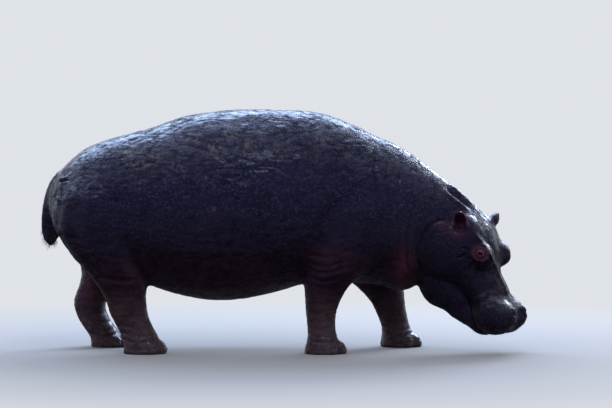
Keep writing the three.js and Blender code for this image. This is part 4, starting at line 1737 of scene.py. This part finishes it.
tail_low, tail_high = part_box("tail")
tail_middle = (tail_low + tail_high) / 2
near_tip = ramp(points[:, 2], tail_low.z + 0.16, tail_low.z + 0.02) * (points[:, 0] < tail_low.x + 0.10)
near_tip *= np.abs(points[:, 1] - tail_middle.y) < (tail_high.y - tail_low.y) / 2 + 0.01
at_tip = chance.random(len(points)) < near_tip * (0.5 + 0.5 * np.abs(normals[:, 0]) ** 2)
make_bristles("bristles_tail", at_tip, 260, 0.042, 0.0009, UP * -2.4, tail_middle, UP)

for name, plan in EAR_PLANS.items():
    root, tip = from_head(plan["root"]), from_head(plan["tip"])
    up = (tip - root).normalized()
    piece_name = name.replace("ear", "bristles_ear")
    make_bristles(piece_name, rims[name] > 0.5, 110, 0.013, 0.0006, up * 1.2, root, up)

# %% [markdown]
# ## Camera, light and floor
#
# A long lens from far off, at the height of the animal's back, keeps its outline as it is and
# doesn't swell what is near. It looks a little down, so the animal stands clear of the backdrop.

# %% Camera
CAMERA_PLACE = (0.148, -16.0, 1.5)
CAMERA_DOWN = 2.1  # degrees below the level
LENS, SENSOR = 150.6, 36
camera_data = bpy.data.cameras.new("camera")
camera_data.sensor_width = SENSOR
camera_data.lens = LENS
camera = put_in_scene("camera", camera_data)
camera.location = CAMERA_PLACE
camera.rotation_euler = (math.radians(90 - CAMERA_DOWN), 0, 0)
bpy.context.scene.camera = camera
bpy.context.scene.view_settings.view_transform = "Standard"
print("the camera stands", -CAMERA_PLACE[1], "m off")

# %% [markdown]
# ### Floor
#
# The floor is a plain pale plane that takes the shadow and fades into the pale backdrop with
# distance. Only the camera and mirrored rays see it so. What it throws up at the belly is as
# dim as grass or earth, because a pale floor would light the underside from below.

# %% Floor
PALE = (0.74, 0.77, 0.81, 1)
FLOOR_REACH = 400
FLOOR_COLOUR = (0.53, 0.465, 0.41, 1)
FLOOR_THROWN = (0.11, 0.10, 0.085, 1)
FADE_FROM, FADE_TO = 1.8, 4.2


def seen_directly(tree):
    """1 for rays from the camera, mirrored rays and rays through glass, and 0 for soft light."""
    rays = add(tree, "LightPath").outputs
    either = math_of(tree, "MAXIMUM", rays["Is Camera Ray"], rays["Is Glossy Ray"])
    return math_of(tree, "MAXIMUM", either, rays["Is Transmission Ray"])


floor_finish, tree, shader = new_material("pale floor")
shader.inputs["Base Color"].default_value = FLOOR_COLOUR
shader.inputs["Roughness"].default_value = 0.9
thrown = add(tree, "BsdfDiffuse", {"Color": FLOOR_THROWN})
far = spread(tree, length_of(tree, place_on(tree)), FADE_FROM, FADE_TO)
glow = add(tree, "Emission", {"Color": PALE, "Strength": 1.0})
pale = add(tree, "MixShader", {0: far, 1: shader.outputs[0], 2: glow.outputs[0]})
either = add(tree, "MixShader", {0: seen_directly(tree), 1: thrown.outputs[0], 2: pale.outputs[0]})
tree.links.new(either.outputs[0], tree.nodes["Material Output"].inputs["Surface"])

floor_mesh = bpy.data.meshes.new("floor")
square = [(-1, -1), (1, -1), (1, 1), (-1, 1)]
floor_mesh.from_pydata([(x * FLOOR_REACH, y * FLOOR_REACH, 0) for x, y in square], [], [(0, 1, 2, 3)])
floor_mesh.materials.append(floor_finish)
floor = put_in_scene("floor", floor_mesh)
print("floor to", FLOOR_REACH, "m")

# %% [markdown]
# ### World and lamps
#
# What the camera and the gloss see of the world is the pale backdrop, and what lights the hide
# is a blue sky over dim ground. One wide soft lamp high behind the back draws the wet sheen
# along it, a smaller one behind the head picks out the brow and the snout, and a weak one in
# front keeps the near side from going black.

# %% World and lamps
SKY, GROUND = (0.58, 0.73, 1.0, 1), (0.30, 0.30, 0.32, 1)
LAMPS = {  # place, size, power and colour
    "sky lamp": [(-1.0, 4.2, 5.5), (8.5, 3.8), 470, (0.42, 0.62, 1.0)],
    "glare lamp": [(3.8, 5.6, 3.8), (3, 2), 280, (0.68, 0.79, 1.0)],
    "front lamp": [(0.2, -4.6, 7.2), (2.5, 1.8), 84, (0.68, 0.77, 1.0)],
}
LAMPS_AIM = Vector((0, 0, 0.8))

world = bpy.data.worlds.new("world")
bpy.context.scene.world = world
world.use_nodes = True
tree = world.node_tree
upward = height_in(tree, add(tree, "TexCoord").outputs["Generated"])
sky = blend_colour(tree, spread(tree, upward, -0.1, 0.9), GROUND, SKY)
tree.links.new(blend_colour(tree, seen_directly(tree), sky, PALE), tree.nodes["Background"].inputs["Color"])


def hang_lamp(name, place, size, power, colour):
    """A soft box at a place, turned towards the middle of the animal."""
    lamp = bpy.data.lights.new(name, "AREA")
    lamp.shape = "RECTANGLE"
    lamp.size, lamp.size_y = size
    lamp.energy = power
    lamp.color = colour
    thing = put_in_scene(name, lamp)
    thing.location = place
    thing.rotation_mode = "QUATERNION"
    thing.rotation_quaternion = (LAMPS_AIM - Vector(place)).to_track_quat("-Z", "Y")


for name, settings in LAMPS.items():
    hang_lamp(name, *settings)
print(len(LAMPS), "lamps")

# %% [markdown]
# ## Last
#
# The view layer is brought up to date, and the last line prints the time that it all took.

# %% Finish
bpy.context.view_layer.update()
tell("all made")
